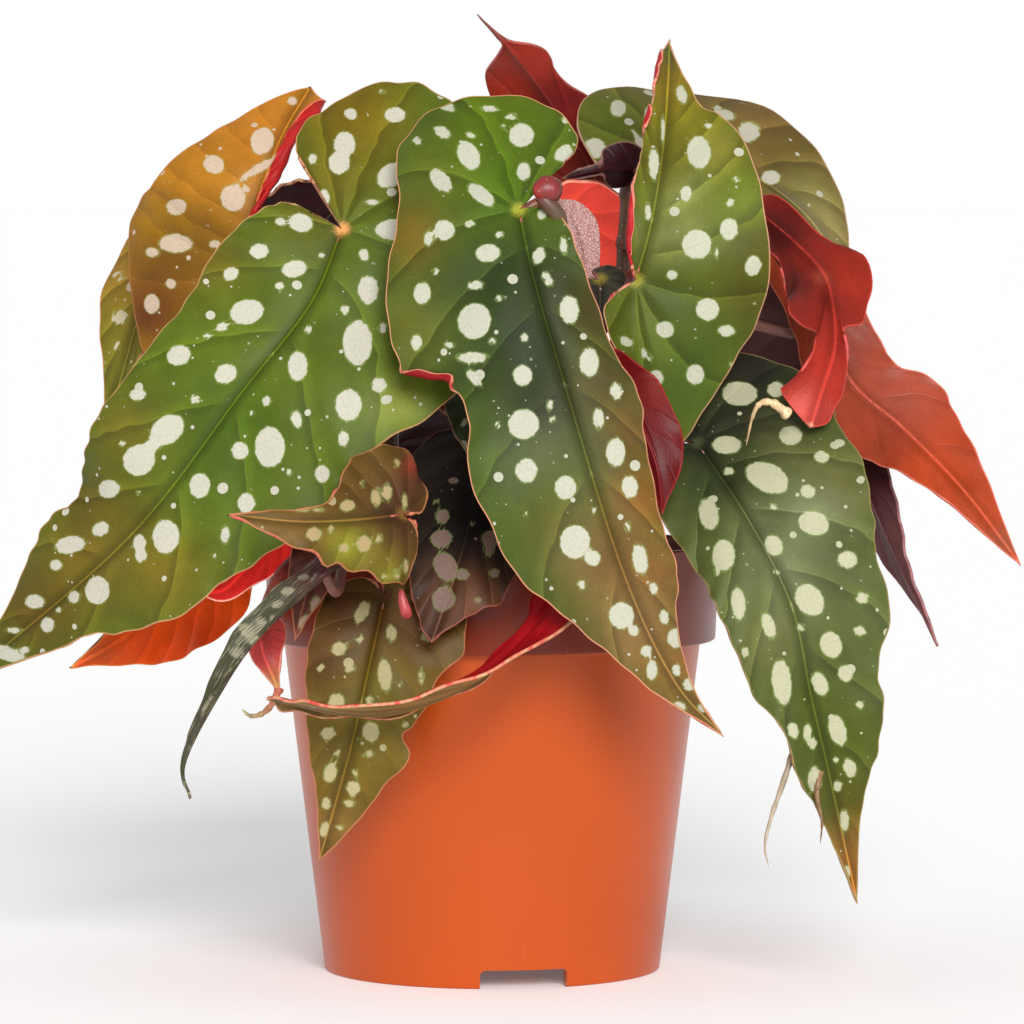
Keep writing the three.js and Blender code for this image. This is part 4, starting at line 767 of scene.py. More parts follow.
# finishes of the leaves: colours of both faces, washes of colour (colour, place in the photo, reach in
# pixels, strength) that give the leaf's own colour and also painted shade and painted sheen, margin, spots
# (place, width, height and, if it is turned, degrees, all in a crop), scattered spots per square decimetre,
# and relief, the strength of the painted light and shade beside the veins
leafLooks = {
    "leaf_front_left": {
        "base": (94, 112, 26), "under": (150, 50, 44), "spot": (218, 214, 196), "margin": (205, 150, 105),
        "colourShadeAndSheen": [
            ((134, 106, 16), 350, 110, 40, 0.9), ((112, 98, 22), 318, 195, 32, 0.8),
            ((84, 104, 22), 370, 250, 30, 0.7), ((116, 100, 22), 215, 265, 26, 0.8),
            ((86, 102, 20), 305, 335, 44, 0.6), ((106, 124, 28), 225, 340, 36, 0.6),
            ((74, 102, 16), 222, 424, 38, 0.75), ((116, 106, 30), 122, 432, 30, 0.85),
            ((98, 84, 16), 96, 508, 28, 0.85), ((134, 114, 30), 165, 572, 32, 0.8),
            ((132, 108, 32), 88, 560, 40, 0.8), ((112, 86, 14), 36, 610, 38, 0.9),
            ((92, 116, 26), 226, 496, 34, 0.6), ((148, 158, 62), 400, 405, 20, 0.85),
        ],
        "spots": [
            ("topLeft", [
                (793, 195, 48, 55), (780, 238, 48, 50), (808, 126, 30, 24, 20), (877, 76, 16, 10),
                (908, 128, 48, 34), (900, 266, 68, 50, -35), (720, 229, 18, 20), (742, 320, 26, 34, -20),
                (857, 328, 30, 12), (908, 391, 84, 48), (692, 377, 54, 42, 10), (645, 374, 24, 18, 20),
                (596, 441, 42, 34), (532, 493, 36, 30, -30), (677, 482, 56, 38, -10), (643, 521, 20, 18),
                (838, 450, 22, 26), (739, 451, 14, 12), (847, 529, 46, 64), (793, 576, 20, 20),
                (568, 580, 76, 56, -12), (511, 615, 26, 22), (478, 636, 18, 16), (710, 621, 16, 18),
                (822, 653, 66, 100), (881, 617, 20, 22), (686, 706, 44, 66), (412, 680, 54, 46, -20),
                (520, 722, 50, 44, -30), (872, 749, 34, 34), (802, 794, 60, 70), (318, 770, 36, 28),
                (449, 781, 20, 24), (615, 786, 20, 22), (682, 827, 24, 38, -15), (581, 814, 12, 12),
                (790, 871, 24, 34), (385, 850, 84, 62, -35), (320, 920, 74, 70, -35),
                (352, 886, 40, 30, -45), (284, 883, 16, 14), (622, 890, 68, 92), (553, 899, 40, 40),
                (252, 986, 46, 42), (460, 979, 46, 56, 10), (742, 952, 34, 40), (666, 950, 14, 16),
            ]),
            ("left", [
                (501, 290, 80, 100), (601, 137, 60, 72), (421, 310, 38, 50), (426, 345, 34, 44),
                (213, 315, 88, 50, -12), (304, 267, 50, 40, -25), (295, 451, 72, 82), (171, 376, 34, 32),
                (107, 484, 54, 42), (225, 471, 34, 34), (146, 555, 40, 44), (45, 570, 40, 16),
                (18, 640, 52, 62), (76, 630, 30, 18), (741, 190, 52, 60), (678, 284, 26, 46),
                (370, 11, 20, 18), (417, 157, 14, 14), (180, 511, 16, 14), (645, 348, 12, 12),
            ]),
        ],
        "star": (214, 150, 84),
    },
    # this leaf's darkest washes in the middle of the blade are painted shade
    "leaf_front_center": {
        "base": (80, 98, 32), "under": (165, 30, 36), "spot": (212, 211, 190), "margin": (225, 150, 115),
        "rolls": [("wide", 0.53, 0.62, 3.6, 190, 0.7)],
        "colourShadeAndSheen": [
            ((92, 114, 14), 500, 120, 56, 0.95), ((84, 114, 16), 500, 188, 34, 0.8),
            ((106, 116, 34), 430, 180, 26, 0.7), ((134, 108, 34), 408, 235, 22, 0.9),
            ((112, 112, 36), 410, 330, 28, 0.75), ((48, 64, 22), 500, 282, 36, 0.9),
            ((34, 48, 18), 528, 350, 36, 0.92), ((58, 74, 26), 480, 366, 26, 0.8),
            ((38, 48, 14), 552, 282, 24, 0.85), ((76, 64, 28), 600, 310, 26, 0.9),
            ((32, 38, 16), 545, 410, 32, 0.92), ((86, 74, 32), 605, 378, 24, 0.9),
            ((114, 84, 40), 630, 430, 26, 0.9), ((100, 108, 58), 556, 460, 30, 0.7),
            ((142, 92, 32), 642, 500, 26, 0.9), ((94, 98, 32), 552, 522, 26, 0.8),
            ((130, 98, 48), 605, 562, 34, 0.9), ((138, 94, 40), 655, 575, 30, 0.9),
            ((156, 118, 72), 640, 632, 30, 0.85), ((146, 104, 50), 685, 665, 34, 0.95),
            ((146, 112, 56), 706, 712, 26, 0.95),
        ],
        "spots": [
            ("top", [
                (353, 165, 60, 58), (221, 215, 50, 74, -28), (156, 157, 42, 26, 30), (168, 99, 44, 22, 20),
                (274, 100, 42, 14), (328, 119, 28, 14, -10), (94, 179, 22, 20, 20), (227, 165, 22, 14, 20),
                (359, 255, 32, 44), (456, 207, 46, 32, -38), (459, 131, 20, 18), (309, 144, 14, 12),
                (152, 279, 66, 40, 48), (252, 313, 74, 34, 35), (162, 403, 52, 48, 40), (123, 424, 22, 38),
                (224, 387, 24, 18), (300, 413, 20, 16), (270, 460, 60, 44), (398, 466, 28, 42, 20),
                (414, 516, 18, 20), (424, 530, 18, 24), (459, 440, 16, 42), (405, 364, 20, 24),
                (106, 559, 42, 54), (236, 629, 80, 88, 20), (239, 540, 38, 22), (300, 572, 22, 14),
                (473, 600, 46, 70), (140, 506, 18, 16), (92, 681, 28, 38), (174, 688, 26, 14),
                (281, 679, 18, 14), (232, 719, 70, 26), (361, 670, 18, 20), (522, 731, 46, 70),
                (356, 764, 46, 50), (589, 803, 28, 42), (545, 872, 26, 50), (359, 886, 76, 74),
                (431, 874, 18, 14), (424, 837, 16, 24), (236, 770, 22, 50, -40), (294, 888, 14, 16),
            ]),
            ("middle", [
                (366, 176, 54, 58), (463, 219, 54, 58), (588, 131, 46, 72), (624, 218, 40, 56),
                (487, 354, 74, 82), (531, 395, 40, 36), (649, 398, 38, 74, -5), (619, 318, 14, 26),
                (602, 538, 60, 64), (632, 576, 28, 24), (503, 460, 20, 20), (683, 470, 20, 30),
                (709, 541, 24, 34), (737, 595, 40, 48), (664, 627, 26, 28), (678, 675, 26, 46),
                (739, 674, 20, 28), (773, 709, 30, 32), (747, 766, 30, 24, 20), (806, 768, 26, 16, 20),
                (365, 287, 14, 14), (533, 275, 12, 14),
            ]),
        ],
        "star": (150, 152, 48),
    },
    # this leaf's pale grey-green washes are painted sheen
    "leaf_right_upright": {
        "base": (98, 108, 24), "under": (205, 45, 52), "spot": (212, 212, 188), "margin": (220, 160, 125),
        "rolls": [
            ("narrow", 0.02, 0.36, 3.4, 200, 0.5), ("narrow", 0.5, 0.66, 2.8, 180, 0.6),
            ("narrow", 0.7, 0.95, 2.4, 180, 0.6),
        ],
        "colourShadeAndSheen": [
            ((158, 130, 32), 672, 88, 26, 0.95), ((128, 122, 24), 695, 125, 26, 0.8),
            ((154, 148, 60), 718, 152, 18, 0.7), ((148, 152, 80), 688, 200, 20, 0.85),
            ((134, 138, 62), 665, 245, 18, 0.75), ((124, 140, 44), 738, 205, 24, 0.75),
            ((92, 90, 16), 765, 250, 26, 0.9), ((88, 82, 22), 745, 305, 26, 0.9),
            ((76, 90, 14), 668, 292, 22, 0.8), ((80, 100, 26), 700, 350, 36, 0.9),
            ((78, 102, 28), 690, 398, 28, 0.9), ((110, 104, 26), 655, 160, 18, 0.8),
        ],
        "spots": [("top", [
            (797, 208, 58, 76), (792, 436, 72, 72), (872, 400, 44, 54), (764, 311, 28, 38),
            (818, 599, 56, 56), (932, 490, 40, 48, 15), (866, 652, 40, 28), (713, 650, 44, 40),
            (787, 761, 44, 48), (754, 64, 24, 42, -15), (684, 236, 24, 72), (667, 357, 16, 38),
            (730, 512, 26, 22), (891, 276, 20, 14), (876, 334, 22, 20), (840, 460, 10, 22),
            (821, 142, 24, 12), (616, 678, 32, 22, 20), (704, 150, 10, 50), (880, 735, 12, 14),
            (690, 770, 34, 40), (660, 708, 16, 22), (676, 722, 12, 14), (936, 578, 10, 10),
        ])],
        "star": (146, 142, 48),
    },
    "leaf_upper_left": {
        "base": (176, 122, 26), "under": (205, 42, 40), "spot": (224, 200, 176), "margin": (210, 130, 80),
        "rolls": [("narrow", 0.2, 0.96, 7.5, 182, 0.3)],
        "colourShadeAndSheen": [
            ((206, 128, 36), 258, 128, 50, 0.9), ((198, 130, 34), 200, 175, 38, 0.8),
            ((172, 124, 16), 160, 222, 24, 0.75), ((136, 96, 18), 206, 242, 30, 0.9),
            ((130, 88, 20), 162, 274, 26, 0.9), ((114, 58, 20), 148, 312, 22, 0.95),
        ],
        "spots": [("topLeft", [
            (602, 187, 50, 62, 20), (493, 242, 48, 40, 20), (408, 337, 46, 36), (536, 318, 54, 60, -20),
            (404, 422, 76, 42), (352, 443, 30, 22), (394, 514, 22, 24), (351, 561, 34, 44),
            (672, 96, 20, 18), (496, 423, 24, 18), (565, 298, 18, 16), (604, 246, 16, 20),
        ])],
        "relief": 0.35,
    },
    "leaf_far_left": {
        "base": (144, 128, 38), "under": (170, 60, 40), "spot": (218, 204, 170), "margin": (215, 140, 100),
        "colourShadeAndSheen": [((180, 134, 50), 112, 262, 24, 0.85), ((104, 112, 30), 120, 385, 30, 0.7)],
        "spots": [("topLeft", [(278, 498, 36, 30), (277, 592, 50, 42), (270, 657, 26, 26)])],
        "spotScale": 0.8,
    },
    "leaf_top_red": {
        "base": (90, 110, 44), "under": (168, 56, 42), "spot": (214, 206, 190), "margin": (166, 84, 78),
        "colourShadeAndSheen": [((240, 78, 56), 500, 72, 24, 0.95), ((128, 34, 36), 566, 105, 24, 0.85)], "scatter": 60,
        "tipColor": (150, 136, 134), "tipLength": 15, "relief": 1.6,
    },
    # this leaf's pale greyish washes on the right are painted sheen
    "leaf_top_back": {
        "base": (116, 96, 42), "under": (150, 40, 40), "spot": (196, 192, 172), "margin": (190, 150, 120),
        "colourShadeAndSheen": [
            ((92, 104, 26), 608, 122, 42, 0.98), ((130, 100, 56), 762, 110, 30, 0.8),
            ((102, 82, 32), 788, 158, 26, 0.8), ((134, 126, 68), 805, 198, 24, 0.85),
            ((150, 138, 84), 822, 236, 22, 0.85),
        ],
        "spots": [("top", [
            (594, 97, 38, 40), (538, 196, 56, 50), (922, 155, 52, 52), (976, 268, 46, 34),
            (843, 98, 16, 16), (680, 115, 40, 50), (650, 182, 26, 30), (627, 155, 12, 12),
        ])],
        "scatter": 40,
    },
    "leaf_right_curl": {
        "base": (70, 90, 46), "under": (150, 40, 28), "spot": (200, 200, 180), "margin": (196, 70, 60),
        "colourShadeAndSheen": [
            ((112, 30, 26), 790, 225, 22, 0.9), ((70, 22, 18), 768, 240, 18, 0.95),
            ((176, 50, 32), 850, 285, 20, 0.8), ((110, 44, 40), 790, 290, 17, 0.95),
            ((120, 30, 22), 828, 300, 6, 0.8), ((206, 60, 44), 824, 372, 24, 0.9),
            ((238, 92, 80), 800, 408, 15, 0.9), ((214, 96, 70), 820, 278, 5, 0.7),
            ((150, 30, 26), 843, 350, 10, 0.6),
        ],
        "tipColor": (236, 196, 150), "tipLength": 0.1, "relief": 0.3,
    },
    "leaf_right_long": {
        "base": (80, 104, 48), "under": (190, 78, 48), "spot": (200, 200, 180), "margin": (225, 130, 110),
        "colourShadeAndSheen": [
            ((162, 74, 56), 855, 345, 28, 0.85), ((182, 84, 64), 895, 390, 34, 0.85),
            ((188, 66, 22), 962, 475, 32, 0.9), ((212, 82, 40), 925, 486, 24, 0.85),
            ((202, 82, 46), 986, 512, 24, 0.85), ((196, 106, 74), 1005, 545, 16, 0.8),
        ],
        "relief": 0.7,
    },
    # this leaf's near-black washes at the top and its dark star are painted shadow; its pale grey washes are
    # painted sheen
    "leaf_right_hanging": {
        "base": (92, 102, 48), "under": (130, 40, 44), "spot": (206, 204, 168), "margin": (150, 130, 80),
        "colourShadeAndSheen": [
            ((34, 32, 26), 755, 370, 46, 0.97), ((28, 34, 26), 698, 440, 32, 0.97),
            ((44, 44, 30), 740, 420, 24, 0.85), ((38, 46, 20), 738, 482, 22, 0.85),
            ((98, 98, 58), 785, 440, 22, 0.7), ((56, 66, 34), 700, 494, 18, 0.8),
            ((112, 110, 58), 838, 485, 24, 0.85), ((132, 138, 96), 806, 512, 22, 0.75),
            ((102, 112, 68), 762, 525, 22, 0.75), ((118, 122, 80), 780, 566, 26, 0.85),
            ((90, 98, 46), 835, 560, 24, 0.8), ((118, 120, 66), 770, 642, 28, 0.85),
            ((78, 88, 22), 806, 702, 34, 0.95), ((82, 94, 24), 840, 742, 34, 0.95),
            ((94, 92, 22), 850, 802, 24, 0.95),
        ],
        "spots": [("right", [
            (157, 154, 50, 32), (271, 138, 40, 34), (229, 211, 78, 50, 25), (124, 278, 34, 54, -10),
            (302, 237, 26, 24), (312, 294, 54, 42, 15), (327, 176, 26, 22), (151, 352, 40, 54),
            (241, 335, 30, 38, -25), (373, 360, 34, 30), (177, 440, 24, 56, -5), (305, 431, 46, 60, -35),
            (399, 429, 24, 20), (231, 478, 22, 46, -20), (343, 513, 38, 46, -20), (395, 488, 22, 18),
            (254, 578, 34, 78, -5), (324, 583, 26, 42, -20), (369, 564, 26, 30, -20), (188, 525, 14, 18),
            (275, 667, 18, 28, -15), (300, 671, 14, 30), (309, 690, 16, 18), (355, 665, 30, 54, -15),
            (377, 733, 22, 32, -15), (313, 755, 24, 44), (356, 765, 14, 18), (367, 828, 14, 36),
            (246, 382, 14, 12), (160, 202, 18, 14), (240, 264, 14, 12), (290, 480, 16, 14),
            (139, 382, 10, 12), (395, 621, 14, 14), (352, 718, 10, 10), (180, 63, 62, 42),
            (245, 56, 30, 28), (370, 922, 12, 24), (375, 972, 12, 20),
        ])],
        "star": (60, 64, 40), "tipColor": (196, 116, 44), "tipLength": 30,
    },
    "leaf_right_edge": {
        "base": (60, 40, 40), "under": (126, 84, 84), "spot": (150, 120, 120), "margin": (160, 100, 100),
        "colourShadeAndSheen": [((64, 22, 26), 870, 470, 40, 0.95)],
    },
    "leaf_center_red": {
        "base": (60, 70, 40), "under": (116, 18, 20), "spot": (180, 170, 160), "margin": (150, 40, 40),
        "colourShadeAndSheen": [((150, 42, 30), 680, 380, 14, 0.7)], "relief": 0.3,
    },
    "leaf_center_green": {
        "base": (64, 80, 44), "under": (120, 30, 36), "spot": (196, 196, 170), "margin": (160, 130, 90),
        "spots": [("rim", [(704, 86, 24, 32), (696, 32, 16, 40), (634, 39, 22, 22)])], "scatter": 60,
    },
    "leaf_low_olive": {
        "base": (106, 76, 30), "under": (190, 60, 62), "spot": (190, 164, 112), "margin": (190, 120, 80),
        "colourShadeAndSheen": [
            ((106, 78, 30), 392, 470, 20, 0.8), ((62, 36, 16), 402, 520, 20, 0.9),
            ((148, 112, 50), 278, 518, 24, 0.8), ((152, 150, 44), 348, 548, 16, 0.85),
            ((140, 130, 34), 385, 572, 13, 0.85), ((92, 54, 42), 420, 478, 12, 0.8),
            ((176, 60, 50), 426, 460, 6, 0.8),
        ],
        "spots": [("rim", [
            (307, 218, 44, 40), (450, 133, 28, 54), (476, 122, 26, 50), (384, 153, 44, 34, -15),
            (421, 239, 44, 48), (374, 248, 32, 26), (281, 158, 30, 14), (496, 56, 18, 24),
            (458, 227, 20, 26), (347, 208, 16, 20), (470, 312, 18, 22), (495, 308, 14, 34),
            (514, 290, 16, 44), (515, 141, 14, 38), (420, 102, 14, 20), (317, 163, 22, 10),
        ])],
        "spotScale": 0.74, "star": (110, 78, 36), "relief": 0.5,
    },
    # this leaf is coloured dark throughout as painted shade
    "leaf_low_dark": {
        "base": (46, 36, 28), "under": (110, 30, 36), "spot": (132, 100, 92), "margin": (150, 84, 66),
        "colourShadeAndSheen": [
            ((124, 76, 44), 474, 612, 30, 0.9), ((96, 58, 36), 440, 610, 22, 0.85),
            ((20, 20, 18), 475, 510, 36, 0.95), ((82, 48, 28), 450, 588, 20, 0.85),
            ((112, 66, 38), 472, 614, 16, 0.8),
        ],
        "spots": [("rim", [
            (603, 178, 32, 30, 20), (715, 228, 40, 32), (710, 260, 22, 18), (605, 367, 50, 54),
            (722, 308, 24, 18), (590, 145, 16, 12), (610, 292, 48, 66, -35), (650, 311, 30, 22),
            (601, 229, 50, 36), (685, 368, 16, 10), (674, 195, 12, 10),
        ])],
        "star": (50, 40, 30),
    },
    # this leaf's dark brown washes at the top are painted shade
    "leaf_over_rim": {
        "base": (116, 92, 28), "under": (150, 50, 44), "spot": (196, 182, 132), "margin": (190, 120, 84),
        "colourShadeAndSheen": [
            ((92, 56, 24), 340, 604, 36, 0.97), ((98, 60, 32), 422, 622, 26, 0.85),
            ((102, 64, 28), 325, 662, 20, 0.85), ((112, 98, 26), 376, 692, 26, 0.8),
            ((122, 104, 30), 376, 742, 28, 0.7), ((152, 112, 54), 332, 826, 16, 0.85),
        ],
        "spots": [("rim", [
            (487, 444, 26, 42), (472, 541, 34, 80, -5), (367, 480, 38, 36), (359, 606, 42, 54, 15),
            (391, 524, 28, 28), (410, 457, 22, 22), (325, 524, 20, 20), (341, 674, 40, 34),
            (437, 600, 18, 24), (439, 671, 42, 50), (345, 764, 32, 50, 10), (399, 800, 36, 34),
            (433, 722, 30, 16), (361, 719, 16, 20), (389, 835, 28, 18), (406, 760, 18, 14),
            (370, 890, 22, 12), (331, 895, 22, 36, 15), (336, 835, 22, 30), (555, 545, 14, 34),
            (567, 455, 26, 24), (508, 562, 14, 14), (411, 692, 12, 10), (420, 398, 30, 60, 25),
            (517, 652, 18, 18),
        ])],
        "spotScale": 0.88, "star": (80, 50, 26), "relief": 0.45,
    },
    "leaf_strap": {
        "base": (150, 118, 66), "under": (196, 22, 30), "spot": (200, 170, 130), "margin": (206, 150, 110),
        "upturned": True, "rolls": [("wide", 0.06, 0.97, 4.2, -150, 1)],
    },
    "leaf_low_red": {
        "base": (100, 90, 40), "under": (206, 70, 20), "spot": (200, 170, 130), "margin": (170, 110, 50),
        "colourShadeAndSheen": [((150, 40, 10), 205, 640, 20, 0.5), ((168, 72, 28), 100, 655, 16, 0.8)],
    },
    "leaf_rim_red": {
        "base": (100, 90, 40), "under": (222, 44, 38), "spot": (200, 170, 130), "margin": (250, 190, 170),
    },
    "leaf_dry": {
        "base": (56, 56, 28), "under": (120, 70, 66), "spot": (184, 178, 146), "margin": (130, 100, 80),
        "colourShadeAndSheen": [((96, 40, 48), 325, 572, 22, 0.85), ((70, 66, 52), 208, 745, 24, 0.6)],
        "spots": [("rim", [(185, 420, 16, 26, 20), (165, 452, 20, 30, 30), (130, 490, 22, 24, 20)])],
        "scatter": 120,
    },
    "leaf_small_red": {
        "base": (120, 90, 50), "under": (216, 78, 74), "spot": (200, 170, 130), "margin": (225, 150, 130),
        "tipColor": (190, 160, 90), "tipLength": 8,
    },
    "leaf_rim_brown": {
        "base": (112, 62, 46), "under": (150, 50, 44), "spot": (190, 150, 130), "margin": (180, 110, 84),
        "spots": [("rim", [(298, 425, 22, 32, 20), (330, 393, 22, 40), (292, 305, 36, 24, -35)])],
    },
    "leaf_young": {
        "base": (60, 24, 24), "under": (52, 12, 18), "spot": (120, 100, 96), "margin": (150, 110, 100),
    },
    # this leaf is coloured dark as painted shade
    "leaf_dark_middle": {
        "base": (66, 64, 52), "under": (100, 26, 34), "spot": (120, 110, 96), "margin": (150, 110, 90),
        "scatter": 50,
    },
    "stipule": {
        "base": (186, 146, 138), "under": (178, 138, 130), "spot": (180, 140, 130),
        "margin": (160, 110, 104),
    },
    "leaf_back_red": {
        "base": (78, 108, 48), "under": (236, 76, 62), "spot": (206, 206, 184), "margin": (240, 160, 130),
        "scatter": 90,
    },
    # the back and side leaves below have undersides darkened as painted shade
    "leaf_back_left": {
        "base": (80, 112, 46), "under": (84, 24, 30), "spot": (212, 208, 190), "margin": (205, 150, 105),
        "scatter": 90,
    },
    "leaf_back_center": {
        "base": (52, 78, 48), "under": (84, 24, 30), "spot": (196, 200, 176), "margin": (190, 130, 95),
        "scatter": 95,
    },
    "leaf_back_right": {
        "base": (86, 118, 44), "under": (84, 24, 30), "spot": (210, 208, 184), "margin": (205, 150, 105),
        "scatter": 85,
    },
    "leaf_side_left": {
        "base": (96, 112, 46), "under": (84, 24, 30), "spot": (214, 206, 184), "margin": (205, 150, 105),
        "scatter": 85,
    },
    "leaf_side_right": {
        "base": (56, 78, 48), "under": (84, 24, 30), "spot": (190, 192, 166), "margin": (180, 130, 95),
        "scatter": 80,
    },
    "leaf_back_low": {
        "base": (112, 92, 48), "under": (52, 14, 22), "spot": (206, 184, 140), "margin": (190, 130, 90),
        "scatter": 80,
    },
}

fineLeaves = {
    "leaf_front_left", "leaf_front_center", "leaf_right_upright", "leaf_right_hanging", "leaf_upper_left",
}
hiddenLeaves = {
    "leaf_back_left", "leaf_back_center", "leaf_back_right", "leaf_side_left", "leaf_side_right",
    "leaf_back_low", "leaf_back_red", "leaf_far_left", "leaf_right_edge",
}


spacing = {"fine": 1.25, "plain": 1.5, "hidden": 2.0}


def spacingOf(name):
    return spacing["fine" if name in fineLeaves else "hidden" if name in hiddenLeaves else "plain"]


def seedOf(name):
    return sum(ord(letter) for letter in name)


def halvesOf(name, leaf):
    midrib = Midrib(leaf)
    look = leafLooks[name]
    halves = []
    for wide in (True, False):
        half = HalfBlade(leaf, midrib, wide, spacingOf(name), seedOf(name) + wide)
        rolls = [r[1:] for r in look.get("rolls", []) if (r[0] == "wide") == wide]
        if rolls:
            half.roll(rolls)
        halves.append(half)
    return halves


def flatPlace(places, flat, x, y, count=14):
    # where a pixel lies on the flattened leaf, and how the leaf's millimetres turn into pixels there
    nearest = np.argsort(((places - (x, y)) ** 2).sum(1))[:count]
    design = np.column_stack([flat[nearest], np.ones(count)])
    fit = np.linalg.lstsq(design, places[nearest], rcond=None)[0]
    weight = 1 / (((places[nearest] - (x, y)) ** 2).sum(1) + 4)
    centre = (flat[nearest] * weight[:, None]).sum(0) / weight.sum()
    return centre, fit[:2].T


def seenSpots(look, places, flat):  # spots read off the photo, as centre and shape on the flattened leaf
    spots = []
    for crop, marks in look.get("spots", []):
        left, top, zoom = crops[crop]
        for x, y, width, height, *turn in marks:
            centre, stretch = flatPlace(places, flat, left + x / zoom, top + y / zoom)
            width, height = width * look.get("spotScale", 1), height * look.get("spotScale", 1)
            angle = math.radians(sum(turn))
            turned = np.array([[math.cos(angle), math.sin(angle)], [-math.sin(angle), math.cos(angle)]])
            radii = np.diag([(2 * zoom / width) ** 2, (2 * zoom / height) ** 2])
            shape = stretch.T @ turned.T @ radii @ turned @ stretch
            spots.append((centre, shape))
    return spots


spotForm = {
    "radii": [2.6, 2.2, 1.6, 1.6, 1.1, 1.1],
    "clear": 1,  # millimetres kept from the margin and the midrib
    "apart": 1.5,
    "long": (1.05, 1.5),
    "short": (0.8, 1),
    "farthest": 6.0,
    "wideArea": 0.2,  # areas of the halves in squares of the midrib's length
    "narrowArea": 0.12,
    "strength": 0.7,
    "ground": 0.08,  # a spot takes on some of the ground
}


def scatteredSpots(half, count, draw):  # more spots, drawn out along the veins
    spots = []
    rows, columns = half.mid.shape
    tries = 0
    while len(spots) < count and tries < 40 * count:
        tries += 1
        row, column = draw.randrange(rows), draw.randrange(columns)
        radius = draw.choice(spotForm["radii"])
        clear = radius + spotForm["clear"]
        if draw.random() > half.cross[min(column, len(half.cross) - 1)]:
            continue
        if half.edge[row, column] < clear or half.mid[row, column] < clear:
            continue
        centre = half.flat[row, column]
        if any(np.linalg.norm(centre - other[0]) < radius + spotForm["apart"] + other[2] for other in spots):
            continue
        way = half.way[row]
        long, short = radius * draw.uniform(*spotForm["long"]), radius * draw.uniform(*spotForm["short"])
        aside = np.array([-way[1], way[0]])
        shape = np.outer(way, way) / long ** 2 + np.outer(aside, aside) / short ** 2
        spots.append((centre, shape, radius))
    return [spot[:2] for spot in spots]


def spotDistance(flat, spots):  # millimetres to the nearest spot's outline, negative inside
    nearest = np.full(flat.shape[:-1], spotForm["farthest"])
    for centre, shape in spots:
        away = flat - centre
        size = np.sqrt(np.einsum("...i,ij,...j", away, shape, away))
        reach = 1 / math.sqrt(np.linalg.eigvalsh(shape)[1])
        nearest = np.minimum(nearest, (size - 1) * reach)
    return nearest


def seenColourShadeAndSheen(look, places, flat):
    colourShadeAndSheen = []
    for wash, x, y, reach, strength in look.get("colourShadeAndSheen", []):
        centre, stretch = flatPlace(places, flat, x, y)
        colourShadeAndSheen.append((np.array(colour(*wash)[:3]), centre, stretch / reach, strength))
    return colourShadeAndSheen


def painted(base, colourShadeAndSheen, flat):  # washes of colour over a base, on the flattened leaf: the leaf's own colour, painted shade and painted sheen
    tint = np.ones(flat.shape[:-1] + (1,)) * np.array(colour(*base)[:3])
    for wash, centre, stretch, strength in colourShadeAndSheen:
        away = (flat - centre) @ stretch.T
        weight = strength * np.exp(-(away ** 2).sum(-1) * 0.5)[..., None]
        tint = tint * (1 - weight) + wash * weight
    return tint


seenFromBelow = {
    "leaf_top_red", "leaf_right_curl", "leaf_right_long", "leaf_right_edge", "leaf_center_red",
    "leaf_strap", "leaf_low_red", "leaf_rim_red", "leaf_small_red", "leaf_young",
}


plainTip = (150, 120, 80)
plainStar = (130, 116, 50)


def addHalf(mesh, half, numbers, colours):
    rows, columns = half.mid.shape
    made = bmesh.ops.create_grid(mesh, x_segments=rows - 1, y_segments=columns - 1, size=1)
    flatLayer = mesh.verts.layers.float_vector["flat"]
    layers = [(mesh.verts.layers.float[name], values) for name, values in numbers.items()]
    paints = [(mesh.verts.layers.float_color[name], values) for name, values in colours.items()]
    for vertex in made["verts"]:
        i = round((vertex.co.x + 1) / 2 * (rows - 1))
        j = round((vertex.co.y + 1) / 2 * (columns - 1))
        vertex.co = half.points[i, j] * metre
        vertex[flatLayer] = (*half.flat[i, j], 0)
        for layer, values in layers:
            vertex[layer] = values[i, j]
        for layer, values in paints:
            vertex[layer] = (*values[i, j], 1)
    if half.hand > 0:
        faces = {face for vertex in made["verts"] for face in vertex.link_faces}
        bmesh.ops.reverse_faces(mesh, faces=list(faces))


